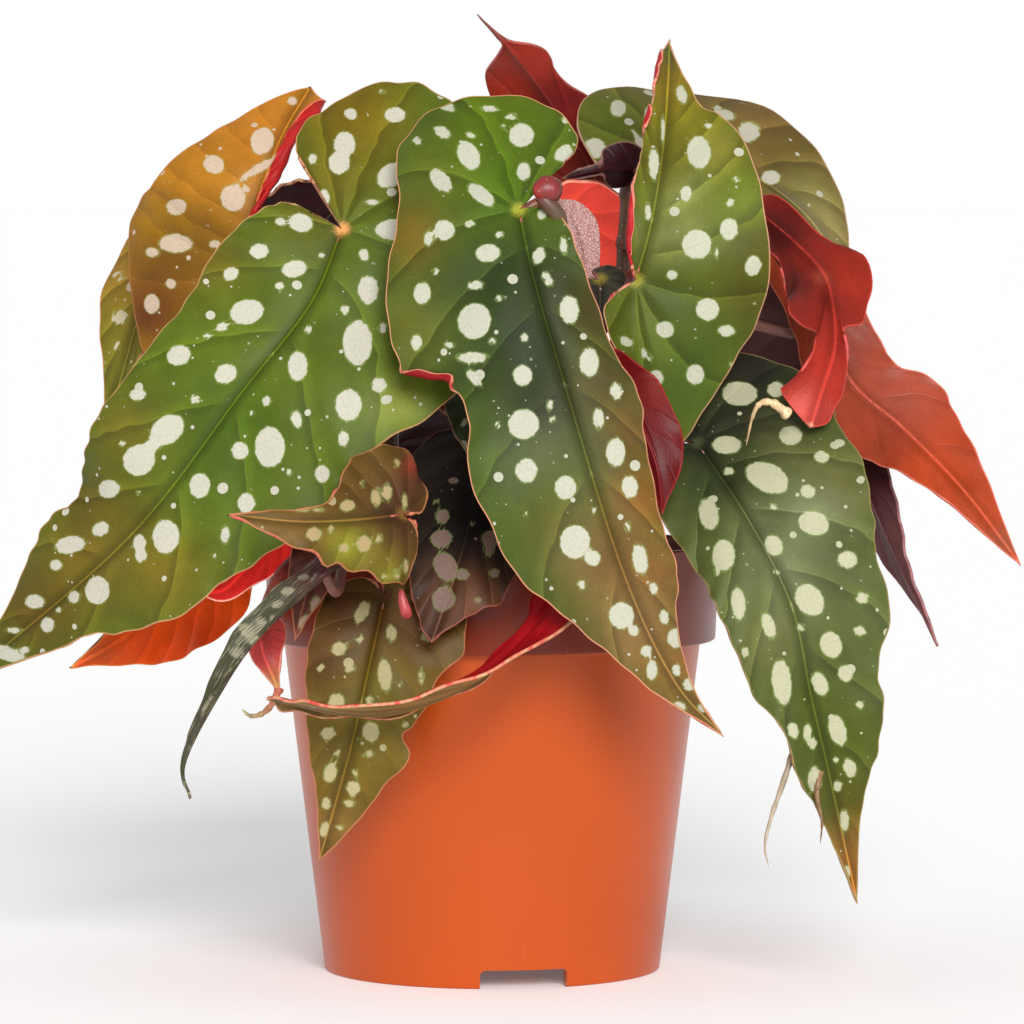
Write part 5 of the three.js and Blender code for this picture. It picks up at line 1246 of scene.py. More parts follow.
def addLeaf(name, leaf, finishes):
    look = leafLooks[name]
    halves = halvesOf(name, leaf)
    flat = np.concatenate([half.flat.reshape(-1, 2) for half in halves])
    places = seenAt(np.concatenate([half.points.reshape(-1, 3) for half in halves]))
    spots = seenSpots(look, places, flat)
    colourShadeAndSheen = seenColourShadeAndSheen(look, places, flat)
    below = name in seenFromBelow
    mesh = bmesh.new()
    for label in ("spot", "vein", "gap", "edge", "mid", "relief"):
        mesh.verts.layers.float.new(label)
    for label in ("tint", "under", "spotTint", "marginTint", "starTint"):
        mesh.verts.layers.float_color.new(label)
    mesh.verts.layers.float_vector.new("flat")
    draw = random.Random(seedOf(name) + 5)
    for half in halves:
        area = half.length ** 2 * spotForm["wideArea" if half.side > 0 else "narrowArea"] / perSquareDecimetre
        extra = scatteredSpots(half, round(look.get("scatter", 0) * area), draw)
        tint = painted(look["base"], [] if below else colourShadeAndSheen, half.flat)
        under = painted(look["under"], colourShadeAndSheen if below else [], half.flat)
        fromTip = (1 - np.clip(half.flat[..., 0] / half.length, 0, 1)) * half.length
        dryness = np.clip(1 - fromTip / look.get("tipLength", 0.1), 0, 1)
        dry = np.array(colour(*look.get("tipColor", plainTip))[:3])
        under = under * (1 - dryness[..., None]) + dry * dryness[..., None]
        tint = tint * (1 - dryness[..., None]) + dry * dryness[..., None]
        spotTint = spotForm["strength"] * np.array(colour(*look["spot"])[:3]) + spotForm["ground"] * tint
        marginTint = np.ones_like(tint) * np.array(colour(*look["margin"])[:3])
        starTint = np.ones_like(tint) * np.array(colour(*look.get("star", plainStar))[:3])
        numbers = {
            "spot": spotDistance(half.flat, spots + extra), "vein": half.vein, "gap": half.gap,
            "edge": half.edge, "mid": half.mid, "relief": look.get("relief", 1) * np.ones_like(half.mid),
        }
        colours = {"tint": tint, "under": under, "spotTint": spotTint, "marginTint": marginTint,
                   "starTint": starTint}
        addHalf(mesh, half, numbers, colours)
    bmesh.ops.remove_doubles(mesh, verts=mesh.verts, dist=0.02 * metre)
    data = bpy.data.meshes.new(name)
    mesh.to_mesh(data)
    mesh.free()
    data.shade_smooth()
    piece = bpy.data.objects.new("blade_" + name, data)
    bpy.context.scene.collection.objects.link(piece)
    faces = ("lower", "upper") if look.get("upturned") else ("upper", "lower")
    for face in (*faces, "margin"):
        data.materials.append(finishes[face])
    wall = piece.modifiers.new("thickness", "SOLIDIFY")
    wall.thickness = blade["thickness"] * metre
    wall.offset = 0
    wall.material_offset = 1
    wall.material_offset_rim = 2
    keep(piece, slots[name], name)


def keep(piece, slot, *nodes):
    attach(piece, "root")
    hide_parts(*nodes)


leafTints = {
    "spotRing": (0.26, 0.34, 0.1, 1), "spotShade": (0.2, 0.21, 0.15, 1), "dryBlotch": (0.06, 0.05, 0.04, 1),
    "sheath": (0.66, 0.46, 0.42, 1), "sheathGrain": (0.34, 0.17, 0.15, 1),
    "sheathSpeck": (0.05, 0.02, 0.02, 1),
}


def leafCoat(finish, flat, tint, depth):  # what both faces share: mottled ground, side veins and midrib
    vein, gap = finish.attribute("vein"), finish.attribute("gap")
    mid, edge = finish.attribute("mid"), finish.attribute("edge")
    phase = vein.maths("FRACT", vein + 0.5)
    wander = (finish.noise(flat, 0.16, 0) - 0.5) * 2.4
    side = (phase - 0.5) * gap + wander * mid.ramp(2, 14)
    line = abs(side).ramp(0.1, 0.55, 1.0, 0.0) * mid.ramp(1.5, 5)
    spine = mid.ramp(0.1, 0.5, 1.0, 0.0)
    mottle = finish.noise(flat, 0.07, 3, 0.6)
    grain = finish.noise(flat, 1.5, 1)
    # painted light and shade: each vein has a lit side and a shaded one
    lit = side.ramp(-4.5, -0.5) * side.ramp(-0.4, 0.3, 1.0, 0.0)
    relief = lit - side.ramp(-0.3, 0.4) * side.ramp(0.6, 4.0, 1.0, 0.0)
    relief = (relief * mid.ramp(1.0, 5.0) * 0.24 + line * 0.34) * finish.attribute("relief") * depth
    # a pale midrib line with painted shade along both its sides
    relief = relief + (spine * 1.3 - mid.ramp(0.5, 3.2, 0.34, 0.0)) * depth
    ground = finish.toned(tint, (0.24 + 0.56 * mottle + 0.22 * grain) * (1.0 + relief))
    return ground, line, spine, mottle, grain, edge


def upperFinish():
    leaf = Finish("leafUpper")
    flat = leaf.attribute("flat", "Vector")
    ground, line, spine, mottle, grain, edge = leafCoat(leaf, flat, leaf.attribute("tint", "Color"), 1)
    # the pale star where the petiole meets the blade
    away = leaf.node("ShaderNodeVectorMath", {"operation": "LENGTH"}, {0: flat})
    star = (Field(leaf, away.outputs["Value"]) + grain * 2.4).ramp(1.8, 4.2, 1.0, 0.0)
    ground = leaf.mix(star * 0.9, ground, leaf.attribute("starTint", "Color"))
    # spots: the large ones from the blade, specks from two sets of cells
    wobble = (leaf.noise(flat, 0.7, 1) - 0.5) * 0.7
    large = leaf.attribute("spot") + wobble
    speck, present = speckLayer(leaf, flat, 0.15, 0.17)
    dust, seen = speckLayer(leaf, flat, 0.42, 0.13)
    small = speck.ramp(-0.05, 0.08, 1.0, 0.0) * present
    tiny = dust.ramp(-0.05, 0.07, 1.0, 0.0) * seen * mottle.ramp(0.46, 0.56)
    marks = large.ramp(-0.05, 0.08, 1.0, 0.0).most(small).most(tiny) * edge.ramp(0.3, 0.7)
    ring = large.ramp(0.05, 0.5, 1.0, 0.0)
    ground = leaf.mix(ring * 0.35, ground, leafTints["spotRing"])
    cracks = leaf.cells(flat, 0.8, "DISTANCE_TO_EDGE").ramp(0.0, 0.07, 1.0, 0.0)
    faded = cracks * 0.22 + grain * 0.24 + large.ramp(-0.5, 0.0) * 0.1
    silver = leaf.mix(faded, leaf.attribute("spotTint", "Color"), leafTints["spotShade"])
    painted = leaf.mix(marks, ground, silver)
    painted = leaf.mix(edge.ramp(0.1, 0.45, 1.0, 0.0) * 0.75, painted, leaf.attribute("marginTint", "Color"))
    height = grain * 0.3 - line * 0.5 + spine * 0.6
    roughness = 0.42 + 0.1 * marks + 0.14 * mottle
    return leaf.shade(**{"Base Color": painted, "Roughness": roughness, "Normal": leaf.bump(height, 0.12),
                         "Specular IOR Level": 0.14})


def speckLayer(leaf, flat, scale, largest):  # small round marks, one in some of the cells, and how far away
    made = leaf.node("ShaderNodeTexVoronoi", {}, {"Vector": flat, "Scale": scale})
    size = leaf.part(made.outputs["Color"], 0)
    present = leaf.part(made.outputs["Color"], 1).ramp(0.3, 0.32)
    radius = largest * (0.35 + size * size)
    return (Field(leaf, made.outputs["Distance"]) - radius) / scale, present


def lowerFinish(name, lit):
    leaf = Finish(name)
    flat = leaf.attribute("flat", "Vector")
    tint = leaf.attribute("under", "Color")
    ground, line, spine, mottle, grain, edge = leafCoat(leaf, flat, tint, 0.5)
    ground = leaf.mix(edge.ramp(0.1, 0.5, 1.0, 0.0) * 0.7, ground, leaf.attribute("marginTint", "Color"))
    height = grain * 0.4 + line * 0.6 + spine * 1.2
    values = {"Base Color": ground, "Roughness": 0.3 + 0.16 * mottle, "Normal": leaf.bump(height, 0.12),
              "Specular IOR Level": 0.12}
    if lit:  # light comes through the blade
        values |= {"Emission Color": ground, "Emission Strength": lit}
    return leaf.shade(**values)


def marginFinish():
    rim = Finish("leafMargin")
    flat = rim.attribute("flat", "Vector")
    tone = rim.noise(flat, 0.5, 3)
    outer, inner = rim.attribute("marginTint", "Color"), rim.attribute("under", "Color")
    tint = rim.mix(tone.ramp(0.3, 0.75), outer, inner)
    return rim.shade(**{"Base Color": tint, "Roughness": 0.45 + 0.1 * tone, "Normal": rim.bump(tone, 0.1)})


def driedFinish():  # papery, drawn into fibres along the blade
    dry = Finish("driedLeaf")
    flat = dry.attribute("flat", "Vector")
    fibres = dry.noise(dry.scaled(flat, (0.12, 1.5, 1)), 1.0, 4, 0.65)
    blotch = dry.noise(flat, 0.22, 3)
    tint = dry.mix(fibres.ramp(0.5, 0.72), dry.attribute("tint", "Color"), dry.attribute("spotTint", "Color"))
    inside = dry.attribute("spot").ramp(-0.2, 0.4, 1.0, 0.0)
    tint = dry.mix(inside * 0.8, tint, dry.attribute("spotTint", "Color"))
    tint = dry.mix(blotch.ramp(0.52, 0.7) * 0.6, tint, leafTints["dryBlotch"])
    height = fibres + blotch * 0.5
    roughness = 0.62 + 0.2 * blotch
    return dry.shade(**{"Base Color": tint, "Roughness": roughness, "Normal": dry.bump(height, 0.5)})


def stipuleFinish():  # dry sheath: pinkish, glittering with pale grains and dark specks
    dry = Finish("stipule")
    flat = dry.attribute("flat", "Vector")
    grains = dry.cells(flat, 2.6)
    speckle = dry.noise(flat, 2.4, 3, 0.7)
    tint = dry.mix(grains.ramp(0.15, 0.6), leafTints["sheath"], leafTints["sheathGrain"])
    tint = dry.mix(speckle.ramp(0.6, 0.7), tint, leafTints["sheathSpeck"])
    roughness = 0.35 + 0.3 * speckle
    # the emission is painted light: the sheath glows with its own colour so that it stays bright in the shade
    return dry.shade(**{"Base Color": tint, "Roughness": roughness, "Normal": dry.bump(grains, 0.3),
                        "Emission Color": tint, "Emission Strength": 0.35})


petiole = {
    "radius": 1.8,
    "taper": 0.35,
    "inset": 2.4,
    "drop": 6.0,
    "leave": 3.0,
    "arch": 0.12,
    "sides": 16,
    "step": 1.6,
    "seat": 0.3,
    "root": 1.2,
    "footSwell": (0.22, 0.06),  # how much it swells, and over what share of its length
    "endSwell": (0.14, 0.05),
    "sheathScale": 0.55,
    "footTint": (118, 60, 44),
    "endTint": (140, 90, 60),
}


def chordCurve(controls, count):  # the curve spaced by the roots of its chords, as the leaf stalks run
    controls = np.array(controls, float)
    padded = np.vstack([2 * controls[0] - controls[1], controls, 2 * controls[-1] - controls[-2]])
    place = np.linspace(0, 1, count) * (len(controls) - 1)
    index = np.minimum(place.astype(int), len(controls) - 2)
    t = (place - index)[:, None]
    before, start, end, after = (padded[index + k] for k in range(4))
    chords = (start - before, end - start, after - end)
    gapA, gapB, gapC = (np.sqrt(np.linalg.norm(chord, axis=1))[:, None] for chord in chords)
    leave = ((start - before) / gapA - (end - before) / (gapA + gapB) + (end - start) / gapB) * gapB
    arrive = ((end - start) / gapB - (after - start) / (gapB + gapC) + (after - end) / gapC) * gapB
    square = 3 * (end - start) - 2 * leave - arrive
    cube = 2 * (start - end) + leave + arrive
    return start + leave * t + square * t ** 2 + cube * t ** 3


def petiolePath(leaf):
    form = petiole
    cane = canes[leaf["cane"]]
    height = cane["nodes"][leaf["node"]]
    foot, top = np.array(cane["foot"], float), np.array(cane["top"], float)
    along = unit(top - foot)
    axis = foot + (top - foot) * height / top[2]
    midrib = Midrib(leaf)
    point, _, _, normal = (v[0] for v in midrib.frames(np.array([form["inset"] / midrib.length])))
    towards = point - axis
    outward = unit(towards - along * (towards @ along))
    start = axis + outward * (caneRadius(cane, height) + form["seat"])
    below = point - normal * form["drop"]
    via = [np.array(p, float) for p in leaf.get("via", [])]
    if not via:
        via = [(start + below) / 2 + np.array([0, 0, form["arch"] * np.linalg.norm(below - start)])]
    controls = [start + outward * form["leave"], *via, below, point]
    length = sum(np.linalg.norm(q - p) for p, q in zip(controls, controls[1:]))
    path = chordCurve(controls, max(8, round(length / form["step"])))
    return np.vstack([start - outward * form["root"], start, path])


def addTube(mesh, path, radii, sides, tint):  # a grid wrapped round a path
    rows = len(path)
    made = bmesh.ops.create_grid(mesh, x_segments=rows - 1, y_segments=sides, size=1)
    tangent = unit(np.gradient(path, axis=0))
    side = unit(np.cross((0.0, 0.0, 1.0), tangent[0]) + 1e-6)
    sideways = []
    for way in tangent:
        side = unit(side - way * (side @ way))
        sideways.append(side)
    sideways = np.array(sideways)
    rise = np.cross(tangent, sideways)
    paint = mesh.verts.layers.float_color["tint"]
    for vertex in made["verts"]:
        i = round((vertex.co.x + 1) / 2 * (rows - 1))
        turn = math.pi * (vertex.co.y + 1)
        place = path[i] + radii[i] * (sideways[i] * math.cos(turn) + rise[i] * math.sin(turn))
        vertex.co = place * metre
        share = i / (rows - 1)
        vertex[paint] = (*(np.array(tint[0]) * (1 - share) + np.array(tint[1]) * share)[:3], 1)
    bmesh.ops.remove_doubles(mesh, verts=made["verts"], dist=0.002 * metre)


def closeEnds(mesh):
    rings = [edge for edge in mesh.edges if len(edge.link_faces) == 1]
    bmesh.ops.holes_fill(mesh, edges=rings, sides=0)
    bmesh.ops.recalc_face_normals(mesh, faces=mesh.faces)


def newPiece(name, mesh, *finishes):
    data = bpy.data.meshes.new(name)
    mesh.to_mesh(data)
    mesh.free()
    data.shade_smooth()
    for finish in finishes:
        data.materials.append(finish)
    made = bpy.data.objects.new(name, data)
    bpy.context.scene.collection.objects.link(made)
    return made


def addPetioles(finish):
    mesh = bmesh.new()
    mesh.verts.layers.float_color.new("tint")
    for name, leaf in leaves.items():
        path = petiolePath(leaf)
        thick = petiole["radius"] * (petiole["sheathScale"] if name == "stipule" else 1)
        share = np.linspace(0, 1, len(path))
        foot, footSpan = petiole["footSwell"]
        tip, tipSpan = petiole["endSwell"]
        swell = 1 + foot * np.exp(-(share / footSpan) ** 2) + tip * np.exp(-((1 - share) / tipSpan) ** 2)
        radii = thick * (1 - petiole["taper"] * share) * swell
        end = np.array(colour(*leafLooks[name]["under"])) * 0.6 + np.array(colour(*petiole["endTint"])) * 0.4
        addTube(mesh, path, radii, petiole["sides"], (colour(*petiole["footTint"]), end))
    closeEnds(mesh)
    keep(newPiece("petioles", mesh, finish), "cane", *leaves)


# dried and curled ends of leaves: path, radius at its start and end, colours from start to end
curledEnds = [
    ([(10.6, -80, 206.4), (12.2, -80, 206.8), (14.4, -79, 207), (17.2, -77.5, 206)],
     0.6, 4.9, (160, 32, 30), (100, 20, 22)),
    ([(-22.6, -87, 107), (-22.2, -87.5, 104.5), (-21.4, -87.5, 101.5), (-21, -86, 99.8)],
     0.3, 1.9, (190, 72, 74), (180, 52, 58)),
    ([(12.2, -80, 205.6), (14, -80, 203.8), (16, -79.5, 201.6), (18.6, -79, 197.4)],
     1.4, 2.6, (96, 40, 34), (84, 72, 36)),
    ([(-53.9, -68, 80.5), (-55.7, -68, 76.5), (-58.2, -67, 73.9), (-61.2, -67, 73.2), (-63.5, -67, 74.8)],
     1.2, 0.5, (200, 96, 70), (150, 158, 96)),
    ([(75.5, -65, 150), (71.5, -67, 153), (68.3, -67, 152.8), (66.4, -67, 149.4), (64.8, -67, 142)],
     1.6, 0.3, (238, 204, 156), (214, 176, 124)),
    ([(80, -75, 71), (76.4, -76, 64), (73.6, -77, 56), (71, -77, 48.5), (69.4, -77, 41), (70.6, -76, 35)],
     1.3, 0.3, (150, 132, 104), (196, 178, 156)),
    ([(83.4, -75, 60), (82.6, -76, 54), (83.8, -77, 47.5), (83.4, -77, 41.5)],
     1.1, 0.2, (140, 104, 60), (110, 78, 44)),
]


def addCurledEnds(finish):
    mesh = bmesh.new()
    mesh.verts.layers.float_color.new("tint")
    steps, sides = 40, 12
    for controls, first, last, start, end in curledEnds:
        share = np.linspace(0, 1, steps)
        wrinkle = 1 + (0.12 * np.sin(share * 37) + 0.08 * np.sin(share * 61)) * (last < first)
        radii = (first + (last - first) * share ** 0.6) * wrinkle * np.sqrt(1.02 - share ** 5)
        addTube(mesh, curvePoint(controls, share), radii, sides, (colour(*start), colour(*end)))
    closeEnds(mesh)
    keep(newPiece("curledEnds", mesh, finish), slots["leaf_right_hanging"])


stalkTints = {"streak": (0.05, 0.025, 0.018, 1), "mark": (0.5, 0.36, 0.24, 1)}


def stalkFinish(name):
    stalk = Finish(name)
    place = stalk.objectPlace()
    tint = stalk.attribute("tint", "Color")
    streak = stalk.noise(stalk.scaled(place, (1, 1, 0.2)), 0.7, 4, 0.6)
    fleck = stalk.cells(place, 0.55)
    chance = stalk.part(stalk.cells(place, 0.55, output="Color"), 0).ramp(0.45, 0.5)
    mark = fleck.ramp(0.12, 0.2, 1.0, 0.0) * chance
    tint = stalk.mix(streak.ramp(0.3, 0.7) * 0.5, tint, stalkTints["streak"])
    tint = stalk.mix(mark * 0.6, tint, stalkTints["mark"])
    height = streak * 0.6 + mark * 0.5
    roughness = 0.36 + 0.2 * streak
    return stalk.shade(**{"Base Color": tint, "Roughness": roughness, "Normal": stalk.bump(height, 0.25),
                          "Coat Weight": 0.15, "Coat Roughness": 0.3})


caneForm = {
    "low": 64.3, "step": 0.8, "sides": 28, "tip": 6.0, "taper": 0.25, "nodeSwell": 0.5, "nodeSpan": 1.8,
    "scarDepth": 0.18, "scarDrop": 1.7, "scarSpan": 0.35, "footTint": (88, 62, 44), "topTint": (104, 74, 52),
}


def caneRadius(cane, height):
    taper = 1 - caneForm["taper"] * min(max(height / cane["top"][2], 0), 1)
    bulge, span = caneForm["nodeSwell"], caneForm["nodeSpan"]
    swellings = sum(bulge * math.exp(-((height - node) / span) ** 2) for node in cane["nodes"])
    return cane["radius"] * taper + swellings


def addCane(name, cane, finish):
    foot, top = np.array(cane["foot"], float), np.array(cane["top"], float)
    heights = np.arange(caneForm["low"], top[2], caneForm["step"])
    heights = np.append(heights, top[2])
    path = foot + (top - foot) * (heights / top[2])[:, None]
    radii = np.array([caneRadius(cane, h) for h in heights])
    for node in cane["nodes"]:  # a scar ring under each swelling
        away = (heights - node + caneForm["scarDrop"]) / caneForm["scarSpan"]
        radii -= caneForm["scarDepth"] * np.exp(-away ** 2)
    radii = radii * np.clip((top[2] - heights) / caneForm["tip"], 0.0, 1) ** 0.5 + 0.05
    mesh = bmesh.new()
    mesh.verts.layers.float_color.new("tint")
    tint = colour(*caneForm["footTint"]), colour(*caneForm["topTint"])
    addTube(mesh, path, radii, caneForm["sides"], tint)
    closeEnds(mesh)
    keep(newPiece(name.replace("_", "") + "Bark", mesh, finish), "cane", name)


pot = {
    "height": 113.5, "rimRadius": 60.5, "rimBottom": 88.0, "bodyTop": 55.4, "foot": 44.6, "wall": 1.4,
    "footWidth": 3.4, "underside": 5.6, "base": 1.6, "round": 0.7, "steps": 180,
    "notchWidth": 23.0, "notchHeight": 5.0, "notchAngles": (-79, 41, 161),
    "drainRadius": 4.5, "drainCircle": 26.0, "drains": 6, "drainTurn": 0.4,
    "notchReach": 16, "notchRound": 1.4, "cutterDepth": 20, "cutterMiddle": 5, "roundSteps": 4,
    "drainSteps": 40, "sharpFrom": 40, "tint": (184, 76, 14), "cloudTint": (170, 66, 11),
    # the rim band's tint is painted shade; the scuffs and the dirt are wear
    "rimShadeTint": (116, 38, 12), "scuffTint": (238, 140, 96), "dirtTint": (96, 52, 34),
}


def potProfile():
    p = pot
    inside = p["bodyTop"] - p["wall"]
    return [
        (0, p["underside"]), (p["foot"] - p["footWidth"], p["underside"]), (p["foot"] - p["footWidth"], 0),
        (p["foot"], 0), (p["bodyTop"], p["rimBottom"] - 0.2), (p["rimRadius"] - 1.1, p["rimBottom"]),
        (p["rimRadius"], p["height"]), (p["rimRadius"] - 2.1, p["height"]),
        (p["rimRadius"] - 2.6, p["rimBottom"] + 3.2), (inside, p["rimBottom"] + 1.4),
        (p["foot"] - p["wall"] - 0.5, p["underside"] + p["base"]), (0, p["underside"] + p["base"]),
    ]


def inOrder(mesh):  # vertices, edges and faces along a slanting line, so that every run gives the same order
    way = Vector((0.731, 1.317, 2.203))
    mesh.verts.sort(key=lambda vertex: vertex.co.dot(way))
    mesh.edges.sort(key=lambda edge: (edge.verts[0].co + edge.verts[1].co).dot(way))
    mesh.faces.sort(key=lambda face: face.calc_center_median().dot(way))


def spunProfile(mesh, profile, steps, rounding=0):  # a profile turned round the upright axis
    corners = [mesh.verts.new((r * metre, 0, z * metre)) for r, z in profile]
    for pair in zip(corners, corners[1:]):
        mesh.edges.new(pair)
    if rounding:
        bmesh.ops.bevel(mesh, geom=corners[1:-1], offset=rounding * metre, segments=pot["roundSteps"],
                        profile=0.5, affect="VERTICES", material=-1, offset_type="OFFSET")
    bmesh.ops.spin(mesh, geom=mesh.verts[:] + mesh.edges[:], cent=(0, 0, 0), axis=(0, 0, 1),
                   angle=2 * math.pi, steps=steps, use_merge=True)
    bmesh.ops.remove_doubles(mesh, verts=mesh.verts, dist=0.001 * metre)
    inOrder(mesh)
    bmesh.ops.recalc_face_normals(mesh, faces=mesh.faces)


def cutAway(piece, cutter):
    cut = piece.modifiers.new("cut", "BOOLEAN")
    cut.operation = "DIFFERENCE"
    cut.solver = "EXACT"
    cut.object = cutter
    bpy.context.view_layer.update()
    whole = piece.evaluated_get(bpy.context.evaluated_depsgraph_get())
    result = bpy.data.meshes.new_from_object(whole)
    piece.modifiers.clear()
    piece.data = result
    bpy.data.objects.remove(cutter)


def potCutters():
    mesh = bmesh.new()
    for angle in pot["notchAngles"]:
        made = bmesh.ops.create_cube(mesh, size=1)["verts"]
        scale = (pot["notchReach"] * metre, pot["notchWidth"] * metre, 2 * pot["notchHeight"] * metre)
        bmesh.ops.scale(mesh, vec=scale, verts=made)
        uprights = [e for e in dict.fromkeys(e for v in made for e in v.link_edges)
                    if abs(e.verts[0].co.x - e.verts[1].co.x) > metre and e.verts[0].co.z > 0]
        bevelled = bmesh.ops.bevel(mesh, geom=uprights, offset=pot["notchRound"] * metre,
                                   segments=pot["roundSteps"], profile=0.5, affect="EDGES", material=-1,
                                   offset_type="OFFSET")
        made = list(dict.fromkeys([v for v in made if v.is_valid] + bevelled["verts"]))
        bmesh.ops.translate(mesh, vec=(pot["foot"] * metre, 0, 0), verts=made)
        turn = math.radians(angle)
        bmesh.ops.rotate(mesh, cent=(0, 0, 0), verts=made, matrix=Matrix.Rotation(turn, 3, "Z"))
    for i in range(pot["drains"]):
        radius = pot["drainRadius"] * metre
        made = bmesh.ops.create_cone(mesh, cap_ends=True, segments=pot["drainSteps"], radius1=radius,
                                     radius2=radius, depth=pot["cutterDepth"] * metre)["verts"]
        turn = 2 * math.pi * i / pot["drains"] + pot["drainTurn"]
        centre = Vector((math.cos(turn), math.sin(turn), 0)) * pot["drainCircle"] * metre
        bmesh.ops.translate(mesh, vec=centre + Vector((0, 0, pot["cutterMiddle"] * metre)), verts=made)
    inOrder(mesh)
    return newPiece("potCutters", mesh)


def potFinish():
    shell = Finish("pot")
    place = shell.objectPlace()
    cloud = shell.noise(place, 0.03, 3)
    grain = shell.noise(place, 2.2, 3, 0.6)
    turned = shell.noise(shell.scaled(place, (0.02, 0.02, 1.0)), 1.4, 2)
    scuffs = shell.noise(shell.scaled(place, (1, 1, 0.12)), 0.5, 4, 0.7).ramp(0.66, 0.8)
    dirt = shell.noise(place, 0.9, 4, 0.7).ramp(0.7, 0.78)
    height = shell.part(place, 2)
    low = height.ramp(0, 26, 1.0, 0.0)
    tint = shell.mix(cloud, colour(*pot["tint"]), colour(*pot["cloudTint"]))
    # painted shade: the rim band is made darker all round, for the shade that the leaves cast on it
    tint = shell.mix(height.ramp(87.4, 88.4), tint, colour(*pot["rimShadeTint"]))
    tint = shell.mix(scuffs * 0.16, tint, colour(*pot["scuffTint"]))
    tint = shell.mix(dirt * (0.25 + 0.5 * low), tint, colour(*pot["dirtTint"]))
    rough = 0.24 + 0.1 * cloud + 0.12 * scuffs + 0.06 * grain
    bumps = grain * 0.1 + turned * 0.2 + scuffs * 0.1
    return shell.shade(**{"Base Color": tint, "Roughness": rough, "Normal": shell.bump(bumps, 0.12),
                          "Specular IOR Level": 0.33})


def addPot():
    mesh = bmesh.new()
    spunProfile(mesh, potProfile(), pot["steps"], pot["round"])
    shell = newPiece("flowerPot", mesh, potFinish())
    cutAway(shell, potCutters())
    shell.data.shade_smooth()
    shell.data.set_sharp_from_angle(angle=math.radians(pot["sharpFrom"]))
    keep(shell, "pot", "pot")


soil = {"top": 97.0, "mound": 3.5, "radius": 57.2, "bottom": 7.6, "rings": 46, "steps": 200, "rough": 1.1,
        "crumbs": 420, "perlite": 36, "crumbSizes": (0.5, 1.7), "perliteSizes": (0.7, 1.4),
        "slack": 0.2, "ledge": 91.5, "shoulder": (53.4, 89.0), "toe": 42.4, "toeRise": 0.5, "settled": 1.5,
        "seed": 12, "tint": (34, 24, 18), "clumpTint": (72, 52, 38), "fibreTint": (122, 94, 66),
        "perliteTint": (206, 200, 188), "grainTint": (240, 238, 230)}


def soilHeight(x, y):
    far = math.hypot(x, y) / soil["radius"]
    height = soil["top"] + soil["mound"] * (1 - far ** 2) - soil["settled"]
    place = Vector((x, y, 0))
    lumps = noise.noise(place * 0.12) * 1.4 + noise.noise(place * 0.35) * 0.8 + noise.noise(place * 0.9) * 0.5
    return height + lumps * soil["rough"]


def addSoil():
    draw = random.Random(soil["seed"])
    mesh = bmesh.new()
    ring = [(soil["radius"] * k / soil["rings"], soil["top"]) for k in range(soil["rings"] + 1)]
    ledge = (soil["radius"] - soil["slack"], soil["ledge"])
    toe = (soil["toe"], soil["bottom"] + soil["toeRise"])
    profile = ring + [ledge, soil["shoulder"], toe, (0, soil["bottom"])]
    spunProfile(mesh, profile, soil["steps"])
    for vertex in mesh.verts:
        if vertex.co.z > (soil["top"] - 1) * metre:
            vertex.co.z = soilHeight(vertex.co.x / metre, vertex.co.y / metre) * metre
    bmesh.ops.recalc_face_normals(mesh, faces=mesh.faces)
    for i in range(soil["crumbs"] + soil["perlite"]):
        pale = i >= soil["crumbs"]
        far = soil["radius"] * 0.96 * math.sqrt(draw.random())
        turn = draw.uniform(0, 2 * math.pi)
        x, y = far * math.cos(turn), far * math.sin(turn)
        size = draw.uniform(*soil["perliteSizes" if pale else "crumbSizes"])
        made = bmesh.ops.create_icosphere(mesh, subdivisions=1, radius=size * metre)["verts"]
        for vertex in made:
            vertex.co *= draw.uniform(0.7, 1.2)
        bmesh.ops.translate(mesh, vec=Vector((x, y, soilHeight(x, y) + 0.2 * size)) * metre, verts=made)
        for face in {face for vertex in made for face in vertex.link_faces}:
            face.material_index = 1 if pale else 0
    keep(newPiece("pottingMix", mesh, *soilFinishes()), "soil", "soil")


def soilFinishes():
    peat = Finish("pottingMix")
    place = peat.objectPlace()
    clumps = peat.noise(place, 0.25, 5, 0.7)
    fibre = peat.noise(peat.scaled(place, (1, 0.25, 1)), 1.6, 4, 0.7)
    tint = peat.mix(clumps.ramp(0.3, 0.7), colour(*soil["tint"]), colour(*soil["clumpTint"]))
    tint = peat.mix(fibre.ramp(0.6, 0.72) * 0.7, tint, colour(*soil["fibreTint"]))
    relief = peat.bump(clumps + fibre * 0.6, 1.2)
    damp = peat.shade(**{"Base Color": tint, "Roughness": 0.85 + 0.1 * clumps, "Normal": relief})
    pale = Finish("perlite")
    grain = pale.noise(pale.objectPlace(), 1.4, 4, 0.7)
    tone = pale.mix(grain, colour(*soil["perliteTint"]), colour(*soil["grainTint"]))
    relief = pale.bump(grain, 0.5)
    return damp, pale.shade(**{"Base Color": tone, "Roughness": 0.8 + 0.1 * grain, "Normal": relief})


studio = {
    "floorSize": 400.0,
    "floorTone": 0.96,
    "horizon": 1.0,
    "zenith": 0.5,
    "floorGlow": 0.1,
    "sunFrom": (0.14, -1.0, 0.42),
    "sunSpread": 24.0,
    "sunPower": 3.2,
    "light": (1, 1, 1, 1),
}


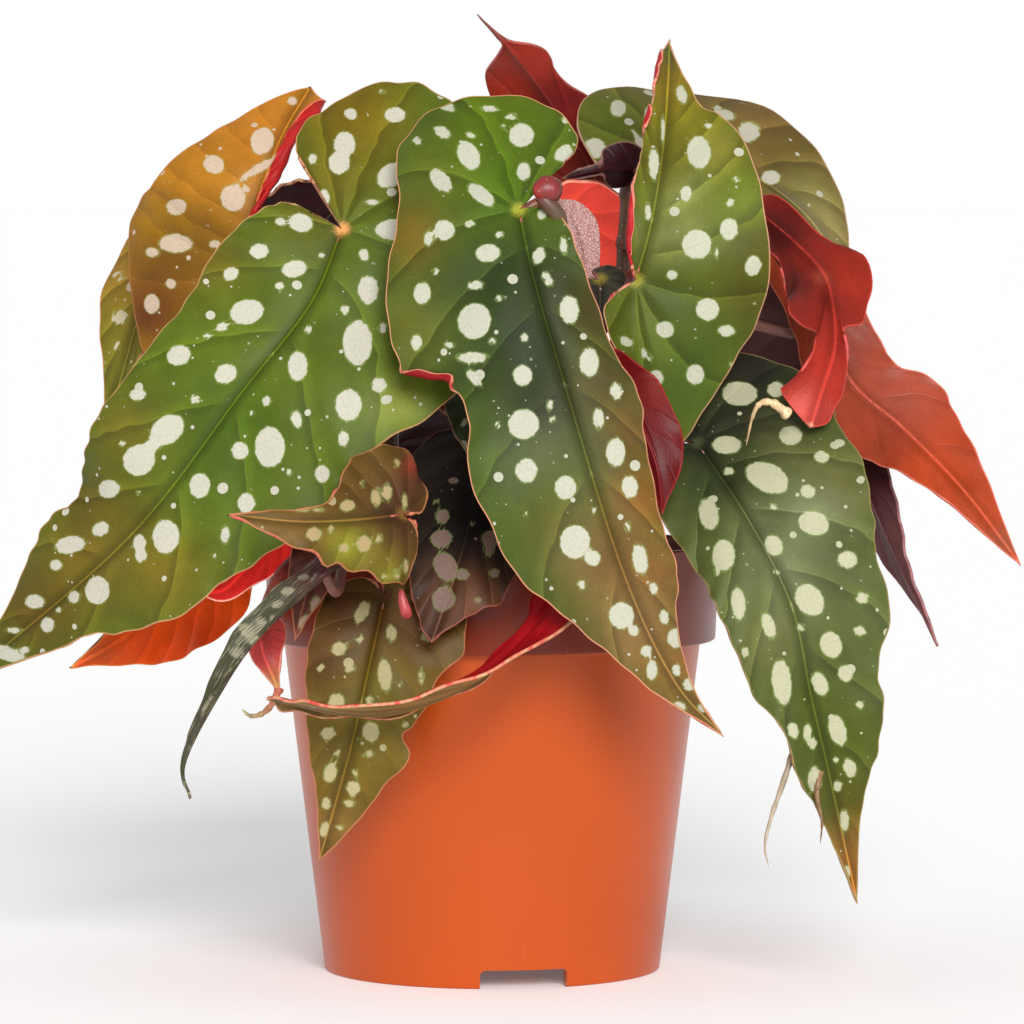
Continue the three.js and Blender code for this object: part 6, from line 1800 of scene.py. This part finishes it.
def addStudio():
    mesh = bmesh.new()
    bmesh.ops.create_grid(mesh, x_segments=2, y_segments=2, size=studio["floorSize"])
    paper = Finish("floor")
    fibre = paper.noise(paper.objectPlace(1.0), 60.0, 3)
    tone = studio["floorTone"]
    pale = paper.mix(fibre, (tone, tone, tone, 1), (tone * 1.02, tone * 1.02, tone * 1.02, 1))
    matt = {"Base Color": pale, "Roughness": 0.9, "Specular IOR Level": 0.1}
    glow = {"Emission Color": studio["light"], "Emission Strength": studio["floorGlow"]}
    floor = newPiece("floor", mesh, paper.shade(**matt, **glow))
    world = bpy.data.worlds.new("studio")
    sky = Finish("studio", world)
    way = sky.node("ShaderNodeTexCoord").outputs["Generated"]
    height = Field(sky, sky.node("ShaderNodeSeparateXYZ", {}, {0: way}).outputs["Z"])
    light = height.ramp(0.14, 0.4, studio["horizon"], studio["zenith"])
    glow = sky.node("ShaderNodeBackground", {}, {"Color": studio["light"], "Strength": light})
    sky.node("ShaderNodeOutputWorld", {}, {"Surface": glow.outputs[0]})
    bpy.context.scene.world = world
    data = bpy.data.lights.new("sun", "SUN")
    data.angle = math.radians(studio["sunSpread"])
    data.energy = studio["sunPower"]
    sun = bpy.data.objects.new("sun", data)
    sun.rotation_euler = Vector(studio["sunFrom"]).to_track_quat("Z", "Y").to_euler()
    bpy.context.scene.collection.objects.link(sun)
    bpy.context.scene.view_settings.view_transform = "Standard"
    bpy.context.scene.view_settings.look = "None"


print("camera and studio")
addCamera()
addStudio()
print("pot and soil")
addPot()
addSoil()
print("canes and stalks")
bark = stalkFinish("caneBark")
for name, cane in canes.items():
    addCane(name, cane, bark)
addPetioles(stalkFinish("petiole"))
print("leaves")
slots = {part["node"]: part["material_slot"] for part in frame["record"]["subparts"]}
addCurledEnds(stalkFinish("curledEnd"))
green = {"upper": upperFinish(), "lower": lowerFinish("leafLower", 0), "margin": marginFinish()}
throughLight = 0.8
backlit = {**green, "lower": lowerFinish("leafLowerLit", throughLight)}
paper = driedFinish()
sheath = stipuleFinish()
special = {
    "leaf_back_red": backlit,
    "leaf_low_red": backlit,
    "leaf_rim_red": backlit,
    "leaf_dry": {"upper": paper, "lower": paper, "margin": paper},
    "stipule": {"upper": sheath, "lower": sheath, "margin": sheath},
}
for name, leaf in leaves.items():
    addLeaf(name, leaf, special.get(name, green))
